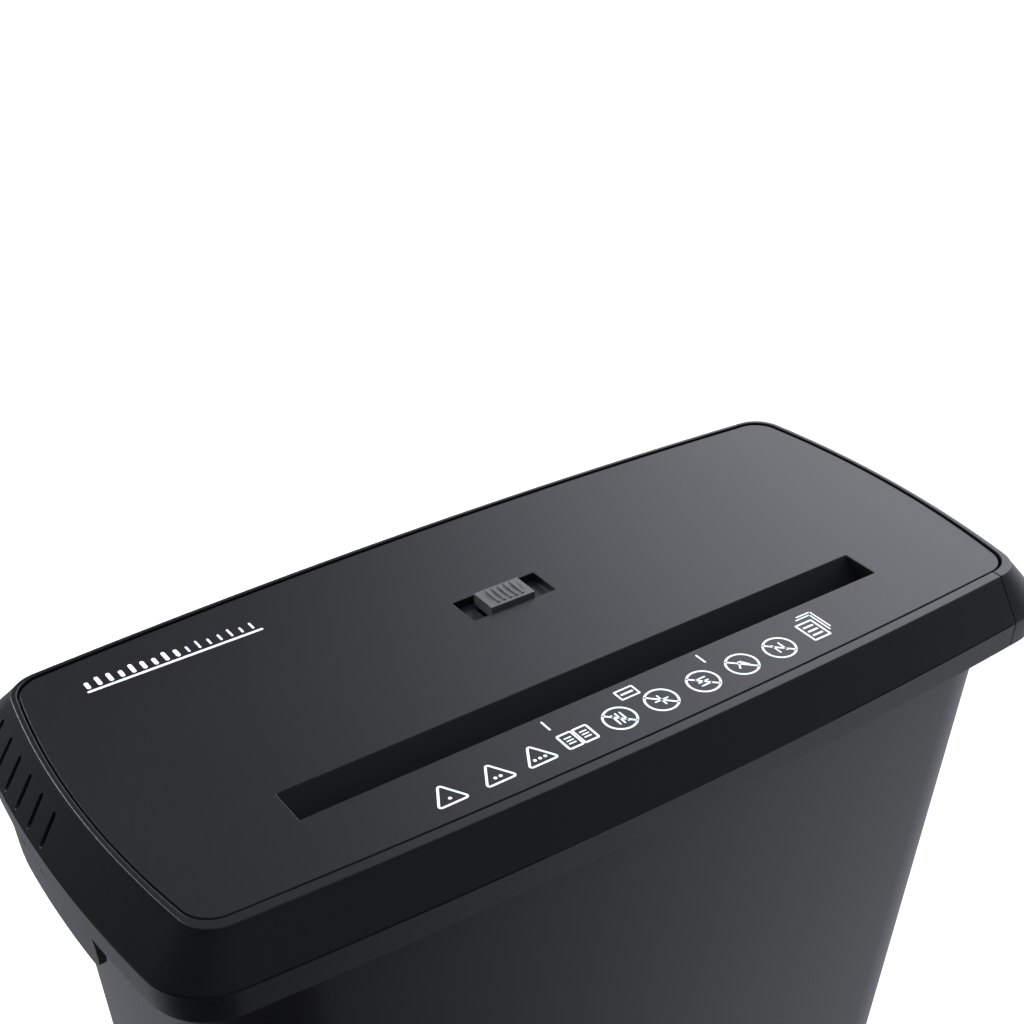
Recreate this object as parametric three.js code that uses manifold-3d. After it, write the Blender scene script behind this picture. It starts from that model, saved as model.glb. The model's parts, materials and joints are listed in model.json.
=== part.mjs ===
// Paper shredder: a cutter head that lifts off a tapered waste bin.
// Millimetres. +Z is up, +X runs along the feed slot, the front faces -Y.
// The origin is on the floor, under the middle of the head.
import * as THREE from "three";
import { mergeVertices } from "three/addons/utils/BufferGeometryUtils.js";
import Module from "manifold-3d";

const wasm = await Module();
wasm.setup();

// ---------------------------------------------------------------- sizes

const GAP = 0.3; // between pieces that rest on each other
const RUNNING_GAP = 0.3; // round a turning shaft
const WALL = 2.4; // moulded walls of the head

// The flat panel on top, seen from above: a rounded rectangle with bowed sides.
const TOP = 368; // height of the panel's face
const PANEL = { length: 326.8, depth: 142, bowEnd: 7.8, bowFront: 4.5, bowRear: 6.9, corner: 10.2 };
const PANEL_THICK = 2.4;
const PANEL_GROOVE = 0.7; // shadow gap round the panel
const PANEL_LEDGE = 6; // width of the ledge under the panel's edge

// The wall below the panel flares out to a crease, then drops as a skirt.
const RIDGE_HEIGHT = 0.4; // of the raised edge round the panel
const RIDGE_END = 3.2; // its width at the two ends
const RIDGE_SIDE = 2.5; // its width along the front and rear
const RIDGE_DROP = 0.2; // from the panel's face to the top of the flared wall
const CREASE_DROP = 14;
const CREASE_OUT_END = 13.2;
const CREASE_OUT_SIDE = 14.8;
const CREASE_BOW_SIDE = 6.5;
const SKIRT_DROP = 24.4;
const SKIRT_IN = 1; // the skirt leans in by this much at its lower edge
const CAP_SEAM_X = PANEL.length / 2 - 15.6; // where the right end cap meets the cover
const FAR = PANEL.length + PANEL.depth; // reaches past everything

// Finger grips that hang from both ends of the head.
const GRIP_WIDTH = 60;
const GRIP_DROP = 13.5;
const GRIP_CORNER = 6;

// Ventilation slots in the left end of the cover.
const VENT = { count: 6, first: 4, pitch: 10.25, width: 1.8, top: 4, bottom: 12.8, slant: 1.9 };

// Feed slot and the throat that leads down to the cutters.
const SLOT_LENGTH = 228.4;
const SLOT_FRONT_Y = 26.8 - PANEL.depth / 2;
const SLOT_WIDTH = 14.2;
const THROAT_WIDTH = 5;
const THROAT_DEPTH = 13; // depth of the funnel in the panel
const FUNNEL_WALL = 1.8;
const GUIDE_THICK = 1.6;

// Waste bin.
const BIN_SHORTER = 3.6; // than the panel, so that the skirt covers the rim's ends
const BIN_DEEPER = 23;
const BIN = {
  length: PANEL.length - BIN_SHORTER,
  depth: PANEL.depth + BIN_DEEPER,
  bowEnd: 6.5,
  bowSide: 10.5,
  corner: 38,
};
const BIN_DRAFT_END = 0.074; // sideways per millimetre of height
const BIN_DRAFT_SIDE = 0.077;
const BIN_WALL = 2.5;
const BIN_FLOOR_Z = 3;
const BIN_HEEL = 5; // chamfer round the bottom edge
const FOOT = { radius: 9, socket: 1.2, insetX: 34, insetY: 26 };

// Lower housing: the skirt, a floor that rests on the bin's rim, and a tub inside the bin.
const FLOOR_DROP = 22;
const FLOOR_THICK = 2.4;
const TUB_CLEAR_END = 15.6; // from the bin's outside
const TUB_CLEAR_SIDE = 10.5;
const TUB = {
  length: BIN.length - 2 * TUB_CLEAR_END,
  depth: BIN.depth - 2 * TUB_CLEAR_SIDE,
  bowEnd: 3,
  bowSide: 6.6,
  corner: 27,
  drop: 95,
  wall: 2.2,
};
const OUTLET = { length: SLOT_LENGTH - 2.4, depth: 38 };

// Cutting cylinders. The discs of one pass between the discs of the other.
const CUTTER_DROP = 48;
const DISC = { radius: 12, thick: 4.6, pitch: 10.4, hooks: 3, hookDepth: 2.2 };
const DISC_TO_CORE = 0.4; // from a disc to the core it passes
const CUTTER_OVERLAP = 4.4; // how far the two rows of discs reach into each other
const CUTTER_SPACING = 2 * DISC.radius - CUTTER_OVERLAP; // between the two axes
const CORE_RADIUS = CUTTER_SPACING - DISC.radius - DISC_TO_CORE;
const BUSH_WALL = 2.4;
const BUSH = { radius: CUTTER_SPACING / 2 - 2.4, flange: CUTTER_SPACING / 2 - 1, flangeThick: 1.4 };
const JOURNAL_RADIUS = BUSH.radius - BUSH_WALL;

// Stripper combs: how thick a finger is, and the bar that joins them, out and down from the axis.
const FINGER_THICK = 4.6;
const COMB_BAR = {
  inner: DISC.radius - 2.4,
  outer: DISC.radius + 2.2,
  top: -DISC.radius - 0.6,
  deep: 5.4,
};
const FINGER_CLEAR = 0.7; // from a finger to the core it strips

// Steel side plates that carry the shafts.
const PLATE_X = SLOT_LENGTH / 2 + 3.8; // inner face of each plate
const DISC_TO_PLATE = 12; // from the last disc's middle to the plate
const DISC_COUNT = 2 * Math.floor((PLATE_X - DISC_TO_PLATE) / DISC.pitch) + 1; // on the front cylinder
const PLATE_THICK = 2;
const PLATE_TOP_DROP = 27;
const PLATE_BOTTOM_DROP = 88;
const PLATE_SLOT_RIB = 2;
const PLATE_REACH = TUB.depth / 2 - 7.4; // half the plates' depth
const PLATE_CORNER = 4;
const RIGHT_PLATE_FOOT = 34;
const TIE_ROD_RADIUS = 2.5;
const GUIDE_FOOT = 12; // the lower flange of each feed guide, out from the throat
const TIE_ROD_OUT = THROAT_WIDTH / 2 + GUIDE_FOOT + TIE_ROD_RADIUS; // from the throat's middle
const TIE_ROD_DROP = CUTTER_DROP - DISC.radius - 5;

// Gear train outside the left plate. Module in millimetres, teeth as counted.
const GEAR_THICK = 4.8;
const GEAR_TO_PLATE = 1.2;
const GEAR_PITCH_X = 5.8; // from one gear layer to the next
const SYNC_TEETH = 14;
const SYNC = { module: CUTTER_SPACING / SYNC_TEETH, teeth: SYNC_TEETH };
const FINAL = { module: 1.25, teeth: 32 };
const LOW = { pinion: 12, wheel: 32, module: 1.2, angle: -25 };
const HIGH = { pinion: 12, wheel: 45, module: 0.9, angle: 20 };
const MOTOR_PINION = { teeth: 10, angle: -25 };
const AXLE_RADIUS = 3;
const GEAR_PLATE_THICK = 1.5;

// Motor.
const MOTOR = { radius: 22, length: 62, wall: 1.6, shaft: 2.5, core: 15 };
const FAN = { radius: 15, hub: 5, thick: 7, blades: 8 };

// Power slide on the panel: it travels to both sides of its middle position.
const SWITCH = {
  x: 0,
  y: 18,
  travel: 7,
  knobLength: 18,
  knobWidth: 11,
  knobProud: 1.6,
  ribs: 5,
  ribPitch: 2.5,
  ribHigh: 0.7,
  pocketDeep: 3.2,
  stem: 5,
  bodyLength: 30,
  bodyDepth: 12,
  bodyHigh: 12,
};
const POCKET_WALL = 1.6;

// Paper sensor in the middle of the throat, and the interlock that feels the bin.
const SENSOR = { width: 3, pivotDrop: 24, pivotBack: 7.2, pinRadius: 1.2 };
const INTERLOCK = { x: BIN.length / 2 - 2, size: 5, travel: 3, proud: 3, bodyLength: 10, bodyDepth: 18 };

// Fasteners and electronics.
const SCREW = { radius: 1.5, head: 2.6, headHigh: 2, boss: 3.4 };
const COVER_SCREWS = { x: 70, y: PANEL.depth / 2 + 3.2 };
const CAP_SCREWS = { x: CAP_SEAM_X + 6.2, y: 40, boss: 2.9 };
const BOARD = { x: 14, y: 14, length: 92, depth: 44, thick: 1.6, drop: 48, screwInset: 5 };
const GLAND = { x: -112, radius: 3.8, drop: 19.2, rim: 0.8, flange: 1.2 };

// ---------------------------------------------------------------- materials

const COLOURS = {
  cover_plastic: [0x1c1d20, 0.5, 0],
  panel_plastic: [0x232427, 0.42, 0],
  bin_plastic: [0x1b1c1f, 0.38, 0],
  housing_plastic: [0x202125, 0.5, 0],
  rubber: [0x141414, 0.85, 0],
  plate_steel: [0x9a9da0, 0.4, 0.9],
  cutter_steel: [0x6c6f73, 0.35, 1],
  gear_plastic: [0xd9d6cc, 0.5, 0],
  gear_steel: [0x7d8084, 0.4, 0.95],
  bronze: [0x9c6b3a, 0.45, 0.9],
  screw_steel: [0x83868a, 0.35, 0.95],
  motor_can: [0x8c9094, 0.35, 0.85],
  inner_plastic: [0x2c2d30, 0.6, 0],
  board_green: [0x1f5a3a, 0.55, 0],
  part_blue: [0x2b4a8a, 0.5, 0],
  switch_grey: [0x55585c, 0.5, 0],
};

// ---------------------------------------------------------------- helpers

const group = new THREE.Group();
group.name = "paper_shredder";

function solid(geometry) {
  const bare = geometry.clone();
  bare.deleteAttribute("normal");
  bare.deleteAttribute("uv");
  const merged = mergeVertices(bare, 1e-4);
  return new wasm.Manifold(
    new wasm.Mesh({
      numProp: 3,
      vertProperties: new Float32Array(merged.attributes.position.array),
      triVerts: new Uint32Array(merged.index.array),
    }),
  );
}

function addPiece(name, body, colour) {
  const { vertProperties, triVerts } = body.getMesh();
  const geometry = new THREE.BufferGeometry();
  geometry.setAttribute("position", new THREE.BufferAttribute(new Float32Array(vertProperties), 3));
  geometry.setIndex(new THREE.BufferAttribute(new Uint32Array(triVerts), 1));
  geometry.computeVertexNormals();
  const [color, roughness, metalness] = COLOURS[colour];
  const material = new THREE.MeshStandardMaterial({ color, roughness, metalness });
  const mesh = new THREE.Mesh(geometry, material);
  mesh.name = name;
  group.add(mesh);
}

const joined = (bodies) => bodies.reduce((all, body) => all.add(body));
const cut = (body, tools) => tools.reduce((left, tool) => left.subtract(tool), body);

function box(x0, x1, y0, y1, z0, z1) {
  const geometry = new THREE.BoxGeometry(x1 - x0, y1 - y0, z1 - z0);
  geometry.translate((x0 + x1) / 2, (y0 + y1) / 2, (z0 + z1) / 2);
  return solid(geometry);
}

// A flat shape of [across, up] points swept along X (across is Y) or along Z (across is X, up is Y).
function sweptX(points, x0, x1, holes = []) {
  const shape = new THREE.Shape(points.map(([y, z]) => new THREE.Vector2(y, z)));
  shape.holes = holes.map((hole) => new THREE.Path(hole.map(([y, z]) => new THREE.Vector2(y, z))));
  const geometry = new THREE.ExtrudeGeometry(shape, { depth: x1 - x0, bevelEnabled: false });
  const axes = new THREE.Matrix4().makeBasis(
    new THREE.Vector3(0, 1, 0),
    new THREE.Vector3(0, 0, 1),
    new THREE.Vector3(1, 0, 0),
  );
  geometry.applyMatrix4(axes);
  geometry.translate(x0, 0, 0);
  return solid(geometry);
}

function sweptZ(points, z0, z1) {
  const shape = new THREE.Shape(points.map(([x, y]) => new THREE.Vector2(x, y)));
  const geometry = new THREE.ExtrudeGeometry(shape, { depth: z1 - z0, bevelEnabled: false });
  geometry.translate(0, 0, z0);
  return solid(geometry);
}

function circle(cx, cy, radius, segments = 20, turn = 0) {
  const points = [];
  for (let i = 0; i < segments; i++) {
    const angle = turn + (i / segments) * Math.PI * 2;
    points.push([cx + radius * Math.cos(angle), cy + radius * Math.sin(angle)]);
  }
  return points;
}

const rodX = (y, z, radius, x0, x1, segments) => sweptX(circle(y, z, radius, segments), x0, x1);
const rodZ = (x, y, radius, z0, z1, segments) => sweptZ(circle(x, y, radius, segments), z0, z1);

function roundedRectangle(halfX, halfY, radius, cx = 0, cy = 0, steps = 5) {
  const points = [];
  const corners = [
    [1, 1, 0],
    [-1, 1, 1],
    [-1, -1, 2],
    [1, -1, 3],
  ];
  for (const [sx, sy, quarter] of corners) {
    for (let i = 0; i <= steps; i++) {
      const angle = ((quarter + i / steps) * Math.PI) / 2;
      points.push([
        cx + sx * (halfX - radius) + radius * Math.cos(angle),
        cy + sy * (halfY - radius) + radius * Math.sin(angle),
      ]);
    }
  }
  return points;
}

// A rounded rectangle whose four sides bow outwards as parabolas. The corner arcs touch both sides.
function cornerArc(a, b, bowEnd, bowSide, radius) {
  let x = a - bowEnd - radius;
  let y = b - bowSide - radius;
  let sideNormal;
  let endNormal;
  let centre;
  for (let i = 0; i < 30; i++) {
    sideNormal = new THREE.Vector2((2 * bowSide * x) / (a * a), 1).normalize();
    endNormal = new THREE.Vector2(1, (2 * bowEnd * y) / (b * b)).normalize();
    const fromSide = new THREE.Vector2(x, b - bowSide * (x / a) ** 2).addScaledVector(sideNormal, -radius);
    const fromEnd = new THREE.Vector2(a - bowEnd * (y / b) ** 2, y).addScaledVector(endNormal, -radius);
    x += fromEnd.x - fromSide.x;
    y += fromSide.y - fromEnd.y;
    centre = fromEnd;
  }
  return { x, y, centre, from: endNormal.angle(), to: sideNormal.angle() };
}

function quarterOutline(a, b, bowEnd, bowSide, radius) {
  const END_STEPS = 4;
  const ARC_STEPS = 4;
  const SIDE_STEPS = 5;
  const arc = cornerArc(a, b, bowEnd, bowSide, radius);
  const points = [];
  for (let i = 0; i < END_STEPS; i++) {
    const y = (arc.y * i) / END_STEPS;
    points.push([a - bowEnd * (y / b) ** 2, y]);
  }
  for (let i = 0; i < ARC_STEPS; i++) {
    const angle = arc.from + ((arc.to - arc.from) * i) / ARC_STEPS;
    points.push([arc.centre.x + radius * Math.cos(angle), arc.centre.y + radius * Math.sin(angle)]);
  }
  for (let i = 0; i <= SIDE_STEPS; i++) {
    const x = arc.x * (1 - i / SIDE_STEPS);
    points.push([x, b - bowSide * (x / a) ** 2]);
  }
  return points;
}

function bowedOutline({ a, b, bowEnd, bowFront, bowRear, radius }) {
  const rear = quarterOutline(a, b, bowEnd, bowRear, radius);
  const front = quarterOutline(a, b, bowEnd, bowFront, radius);
  const mirrored = (points, sx, sy) => points.map(([x, y]) => [sx * x, sy * y]);
  return [
    ...rear.slice(0, -1),
    ...mirrored(rear, -1, 1).reverse().slice(0, -1),
    ...mirrored(front, -1, -1).slice(0, -1),
    ...mirrored(front, 1, -1).reverse().slice(0, -1),
  ];
}

// A closed body through rings of equally many points, lowest first.
function loft(rings) {
  const count = rings[0].points.length;
  const positions = rings.flatMap(({ points, z }) => points.flatMap(([x, y]) => [x, y, z]));
  const index = [];
  for (let r = 0; r + 1 < rings.length; r++) {
    for (let i = 0; i < count; i++) {
      const j = (i + 1) % count;
      const lower = r * count;
      const upper = lower + count;
      index.push(lower + i, lower + j, upper + j, lower + i, upper + j, upper + i);
    }
  }
  const last = (rings.length - 1) * count;
  const flat = (ring) => ring.points.map(([x, y]) => new THREE.Vector2(x, y));
  for (const [a, b, c] of THREE.ShapeUtils.triangulateShape(flat(rings[0]), [])) index.push(a, c, b);
  for (const [a, b, c] of THREE.ShapeUtils.triangulateShape(flat(rings.at(-1)), [])) {
    index.push(last + a, last + b, last + c);
  }
  const geometry = new THREE.BufferGeometry();
  geometry.setAttribute("position", new THREE.Float32BufferAttribute(positions, 3));
  geometry.setIndex(index);
  return solid(geometry);
}

// The head's outline, grown from the panel's edge by `end` along X and `side` along Y.
function headRing(end, side, drop) {
  const share = Math.min(1, Math.max(0, side / CREASE_OUT_SIDE));
  const points = bowedOutline({
    a: PANEL.length / 2 + end,
    b: PANEL.depth / 2 + side,
    bowEnd: PANEL.bowEnd,
    bowFront: PANEL.bowFront + (CREASE_BOW_SIDE - PANEL.bowFront) * share,
    bowRear: PANEL.bowRear,
    radius: PANEL.corner + 0.4 * (end + side),
  });
  return { points, z: TOP - drop };
}

function binRing(z, inset) {
  const below = RIM_Z - z;
  const points = bowedOutline({
    a: BIN.length / 2 - BIN_DRAFT_END * below - inset,
    b: BIN.depth / 2 - BIN_DRAFT_SIDE * below - inset,
    bowEnd: BIN.bowEnd,
    bowFront: BIN.bowSide,
    bowRear: BIN.bowSide,
    radius: BIN.corner - inset,
  });
  return { points, z };
}

// A gear outline with straight-sided teeth. One tooth, or one gap, points along `towards`.
function gearOutline(cy, cz, module, teeth, towards, gapFirst) {
  const radius = (module * teeth) / 2;
  const root = radius - 1.2 * module;
  const tip = radius + 0.8 * module;
  const step = (Math.PI * 2) / teeth;
  const start = towards + (gapFirst ? step / 2 : 0);
  const points = [];
  for (let i = 0; i < teeth; i++) {
    const middle = start + i * step;
    const corners = [
      [root, -0.3],
      [tip, -0.13],
      [tip, 0.13],
      [root, 0.3],
    ];
    for (const [r, share] of corners) {
      const angle = middle + share * step;
      points.push([cy + r * Math.cos(angle), cz + r * Math.sin(angle)]);
    }
  }
  return points;
}

function screwUp(x, y, headTop, tipZ) {
  const head = rodZ(x, y, SCREW.head, headTop - SCREW.headHigh, headTop, 12);
  const shank = rodZ(x, y, SCREW.radius, headTop - 0.1, tipZ, 8);
  return head.add(shank);
}

// ---------------------------------------------------------------- places worked out from the sizes

const FLOOR_TOP = TOP - FLOOR_DROP;
const FLOOR_BOTTOM = FLOOR_TOP - FLOOR_THICK;
const RIM_Z = FLOOR_BOTTOM - GAP;
const TUB_BOTTOM = TOP - TUB.drop;
const LEDGE_TOP = TOP - PANEL_THICK - GAP;
const LEDGE_BOTTOM = LEDGE_TOP - WALL;
const THROAT_FRONT = SLOT_FRONT_Y + 0.4;
const THROAT_BACK = THROAT_FRONT + THROAT_WIDTH;
const THROAT_Y = (THROAT_FRONT + THROAT_BACK) / 2;
const FUNNEL_BOTTOM = TOP - THROAT_DEPTH;
const CUTTER_Z = TOP - CUTTER_DROP;
const FRONT_SHAFT_Y = THROAT_Y - CUTTER_SPACING / 2;
const REAR_SHAFT_Y = THROAT_Y + CUTTER_SPACING / 2;
const GEARS_X = -PLATE_X - PLATE_THICK - GEAR_TO_PLATE; // right-hand face of the first gear layer
const layerX = (layer) => GEARS_X - layer * GEAR_PITCH_X;
const GEAR_PLATE_X = layerX(3) - 0.4;
const polar = (y, z, distance, degrees) => [
  y + distance * Math.cos(THREE.MathUtils.degToRad(degrees)),
  z + distance * Math.sin(THREE.MathUtils.degToRad(degrees)),
];
const meshDistance = (module, a, b) => (module * (a + b)) / 2;
const [LOW_Y, LOW_Z] = polar(
  REAR_SHAFT_Y,
  CUTTER_Z,
  meshDistance(FINAL.module, FINAL.teeth, LOW.pinion),
  LOW.angle,
);
const [HIGH_Y, HIGH_Z] = polar(LOW_Y, LOW_Z, meshDistance(LOW.module, LOW.wheel, HIGH.pinion), HIGH.angle);
const [MOTOR_Y, MOTOR_Z] = polar(
  HIGH_Y,
  HIGH_Z,
  meshDistance(HIGH.module, HIGH.wheel, MOTOR_PINION.teeth),
  MOTOR_PINION.angle,
);
const MOTOR_FRONT_X = -PLATE_X + GAP;
const MOTOR_BACK_X = MOTOR_FRONT_X + MOTOR.length;

// ---------------------------------------------------------------- head covers

const skirtOut = (drop) => {
  const share = (drop - CREASE_DROP) / (SKIRT_DROP - CREASE_DROP);
  return [CREASE_OUT_END - SKIRT_IN * share, CREASE_OUT_SIDE - SKIRT_IN * share];
};
const wallRing = (drop, inset = 0) => {
  const share = (drop - RIDGE_DROP) / (CREASE_DROP - RIDGE_DROP);
  const end = RIDGE_END + (CREASE_OUT_END - RIDGE_END) * share;
  const side = RIDGE_SIDE + (CREASE_OUT_SIDE - RIDGE_SIDE) * share;
  return headRing(end - inset, side - inset, drop);
};
const skirtRing = (drop, inset = 0) => {
  const [end, side] = skirtOut(drop);
  return headRing(end - inset, side - inset, drop);
};

const ridgeRing = (inset, drop) => headRing(RIDGE_END - inset, RIDGE_SIDE - inset, drop);
const ridgeRings = [ridgeRing(0.12, -RIDGE_HEIGHT / 2), ridgeRing(0.4, -RIDGE_HEIGHT)];
const panelRecess = loft([
  headRing(PANEL_GROOVE, PANEL_GROOVE, TOP - LEDGE_TOP),
  headRing(PANEL_GROOVE, PANEL_GROOVE, 0),
  headRing(PANEL_GROOVE + 0.6, PANEL_GROOVE + 0.6, -RIDGE_HEIGHT - 0.2),
]);
const panelWindow = loft([
  headRing(-PANEL_LEDGE, -PANEL_LEDGE, TOP - LEDGE_BOTTOM + 1),
  headRing(-PANEL_LEDGE, -PANEL_LEDGE, TOP - LEDGE_TOP - 1),
]);
const coverOuter = loft([wallRing(CREASE_DROP), wallRing(RIDGE_DROP), ...ridgeRings]);
const coverHollow = loft([wallRing(CREASE_DROP + 0.2, WALL), wallRing(TOP - LEDGE_BOTTOM, WALL + 0.3)]);
const coverShell = cut(coverOuter, [coverHollow, panelRecess, panelWindow]);

const skirtOuter = loft([skirtRing(SKIRT_DROP), skirtRing(CREASE_DROP)]);
const skirtHollow = loft([skirtRing(SKIRT_DROP + 0.2, WALL), skirtRing(CREASE_DROP - 0.2, WALL)]);
const skirtShell = skirtOuter.subtract(skirtHollow);

const gripBottom = SKIRT_DROP + GRIP_DROP;
const gripShell = loft([skirtRing(gripBottom), skirtRing(SKIRT_DROP - 1)]).subtract(
  loft([skirtRing(gripBottom + 1, WALL), skirtRing(SKIRT_DROP - 2, WALL)]),
);
const gripWindow = roundedRectangle(
  GRIP_WIDTH / 2,
  GRIP_DROP,
  GRIP_CORNER,
  0,
  TOP - gripBottom + GRIP_DROP,
);
const leftGrip = gripShell.intersect(sweptX(gripWindow, -FAR, -PANEL.length / 2));
const rightGrip = gripShell.intersect(sweptX(gripWindow, PANEL.length / 2, FAR));

const leftOfSeam = box(-FAR, CAP_SEAM_X - GAP / 2, -FAR, FAR, TOP - TUB.drop / 2, TOP + 5);
const rightOfSeam = box(CAP_SEAM_X + GAP / 2, FAR, -FAR, FAR, TOP - TUB.drop / 2, TOP + 5);

const vents = [];
for (let i = 0; i < VENT.count; i++) {
  const y = VENT.first + i * VENT.pitch;
  const half = VENT.width / 2;
  const profile = [
    [y - half, TOP - VENT.top],
    [y - VENT.slant - half, TOP - VENT.bottom],
    [y - VENT.slant + half, TOP - VENT.bottom],
    [y + half, TOP - VENT.top],
  ];
  vents.push(sweptX(profile, -FAR, -PANEL.length / 2 + 0.5));
}

const bossDepth = FLOOR_TOP + GAP;
const coverScrewPlaces = [];
for (const sx of [-1, 1]) {
  for (const sy of [-1, 1]) coverScrewPlaces.push([sx * COVER_SCREWS.x, sy * COVER_SCREWS.y]);
}
const capScrewPlaces = [-1, 1].map((sy) => [CAP_SCREWS.x, sy * CAP_SCREWS.y]);
const pilot = ([x, y]) => rodZ(x, y, SCREW.radius + GAP, bossDepth - 1, LEDGE_BOTTOM - 1, 10);

const coverBosses = coverScrewPlaces.map(([x, y]) =>
  rodZ(x, y, SCREW.boss, bossDepth, LEDGE_BOTTOM + 1, 14),
);
const capBosses = capScrewPlaces.map(([x, y]) =>
  rodZ(x, y, CAP_SCREWS.boss, bossDepth, LEDGE_BOTTOM + 1, 14),
);
const bossesInside = joined(coverBosses).intersect(coverOuter.add(skirtOuter));

const upperCover = cut(coverShell.intersect(leftOfSeam).add(bossesInside), [
  ...vents,
  ...coverScrewPlaces.map(pilot),
]);
addPiece("upper_cover", upperCover, "cover_plastic");

const capShell = coverShell.add(skirtShell).intersect(rightOfSeam);
const rightCap = cut(joined([capShell, rightGrip, ...capBosses]), capScrewPlaces.map(pilot));
addPiece("right_end_cap", rightCap, "cover_plastic");

// ---------------------------------------------------------------- top panel

const slotEnd = SLOT_LENGTH / 2;
const slotBack = SLOT_FRONT_Y + SLOT_WIDTH;
const pocket = {
  x0: SWITCH.x - SWITCH.knobLength / 2 - SWITCH.travel - 1,
  x1: SWITCH.x + SWITCH.knobLength / 2 + SWITCH.travel + 1,
  y0: SWITCH.y - SWITCH.knobWidth / 2 - 1,
  y1: SWITCH.y + SWITCH.knobWidth / 2 + 1,
};
const funnelOutside = sweptX(
  [
    [SLOT_FRONT_Y - FUNNEL_WALL, TOP - 1],
    [THROAT_FRONT - FUNNEL_WALL, FUNNEL_BOTTOM],
    [THROAT_BACK + FUNNEL_WALL, FUNNEL_BOTTOM],
    [slotBack + FUNNEL_WALL, TOP - 1],
  ],
  -slotEnd - FUNNEL_WALL,
  slotEnd + FUNNEL_WALL,
);
const funnelInside = sweptX(
  [
    [THROAT_FRONT, FUNNEL_BOTTOM - 1],
    [THROAT_BACK, FUNNEL_BOTTOM - 1],
    [THROAT_BACK, FUNNEL_BOTTOM + 1],
    [slotBack, TOP + 1],
    [SLOT_FRONT_Y, TOP + 1],
    [THROAT_FRONT, FUNNEL_BOTTOM + 1],
  ],
  -slotEnd,
  slotEnd,
);
const panelPlate = loft([
  headRing(0, 0, PANEL_THICK),
  headRing(0, 0, 0.5),
  headRing(-0.5, -0.5, 0),
]);
const pocketShell = box(
  pocket.x0 - POCKET_WALL,
  pocket.x1 + POCKET_WALL,
  pocket.y0 - POCKET_WALL,
  pocket.y1 + POCKET_WALL,
  TOP - SWITCH.pocketDeep - POCKET_WALL,
  TOP - 1,
);
const pocketHollow = box(pocket.x0, pocket.x1, pocket.y0, pocket.y1, TOP - SWITCH.pocketDeep, TOP + 1);
const stemSlot = box(
  SWITCH.x - SWITCH.travel - SWITCH.stem / 2 - GAP,
  SWITCH.x + SWITCH.travel + SWITCH.stem / 2 + GAP,
  SWITCH.y - SWITCH.stem / 2 - GAP,
  SWITCH.y + SWITCH.stem / 2 + GAP,
  TOP - SWITCH.pocketDeep - POCKET_WALL - 1,
  TOP,
);
const topPanel = cut(joined([panelPlate, funnelOutside, pocketShell]), [
  funnelInside,
  pocketHollow,
  stemSlot,
]);
addPiece("top_panel", topPanel, "panel_plastic");

// Power slide: a ribbed cap in the pocket, and a stem down into the switch.
const knobHalf = SWITCH.knobLength / 2;
const knobBottom = TOP - SWITCH.pocketDeep + GAP;
const knobSide = SWITCH.knobWidth / 2;
const knobTop = TOP + SWITCH.knobProud;
const ribReach = knobSide - 1.3;
const ribs = [];
for (let i = 0; i < SWITCH.ribs; i++) {
  const x = SWITCH.x + (i - (SWITCH.ribs - 1) / 2) * SWITCH.ribPitch;
  const ribTopZ = knobTop + SWITCH.ribHigh;
  ribs.push(box(x - 0.5, x + 0.5, SWITCH.y - ribReach, SWITCH.y + ribReach, knobTop - 0.1, ribTopZ));
}
const knob = joined([
  box(
    SWITCH.x - knobHalf,
    SWITCH.x + knobHalf,
    SWITCH.y - knobSide,
    SWITCH.y + knobSide,
    knobBottom,
    knobTop,
  ),
  ...ribs,
  box(
    SWITCH.x - SWITCH.stem / 2,
    SWITCH.x + SWITCH.stem / 2,
    SWITCH.y - SWITCH.stem / 2,
    SWITCH.y + SWITCH.stem / 2,
    TOP - SWITCH.pocketDeep - POCKET_WALL - 4,
    knobBottom + 0.1,
  ),
]);
addPiece("power_switch_slide", knob, "switch_grey");

const switchTop = TOP - SWITCH.pocketDeep - POCKET_WALL - GAP;
const switchBody = box(
  SWITCH.x - SWITCH.bodyLength / 2,
  SWITCH.x + SWITCH.bodyLength / 2,
  SWITCH.y - SWITCH.bodyDepth / 2,
  SWITCH.y + SWITCH.bodyDepth / 2,
  switchTop - SWITCH.bodyHigh,
  switchTop,
).subtract(
  box(
    SWITCH.x - SWITCH.travel - SWITCH.stem / 2 - 1,
    SWITCH.x + SWITCH.travel + SWITCH.stem / 2 + 1,
    SWITCH.y - SWITCH.stem / 2 - 0.5,
    SWITCH.y + SWITCH.stem / 2 + 0.5,
    switchTop - 5.5,
    switchTop + 1,
  ),
);
addPiece("power_switch_body", switchBody, "inner_plastic");

// ---------------------------------------------------------------- lower housing

const floorPlate = loft([skirtRing(TOP - FLOOR_BOTTOM, WALL - 0.6), skirtRing(FLOOR_DROP, WALL - 0.6)]);
const tubOutline = (inset) =>
  bowedOutline({
    a: TUB.length / 2 - inset,
    b: TUB.depth / 2 - inset,
    bowEnd: TUB.bowEnd,
    bowFront: TUB.bowSide,
    bowRear: TUB.bowSide,
    radius: TUB.corner - inset,
  });
const tubOuter = sweptZ(tubOutline(0), TUB_BOTTOM, FLOOR_TOP);
const tubInner = sweptZ(tubOutline(TUB.wall), TUB_BOTTOM + TUB.wall, FLOOR_TOP + 1);
const outlet = box(
  -OUTLET.length / 2,
  OUTLET.length / 2,
  THROAT_Y - OUTLET.depth / 2,
  THROAT_Y + OUTLET.depth / 2,
  TUB_BOTTOM - 1,
  TUB_BOTTOM + TUB.wall + 1,
);
const plateRibs = [];
const ribBottom = TUB_BOTTOM + TUB.wall - 0.5;
const ribTop = TOP - PLATE_BOTTOM_DROP + 4;
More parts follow.
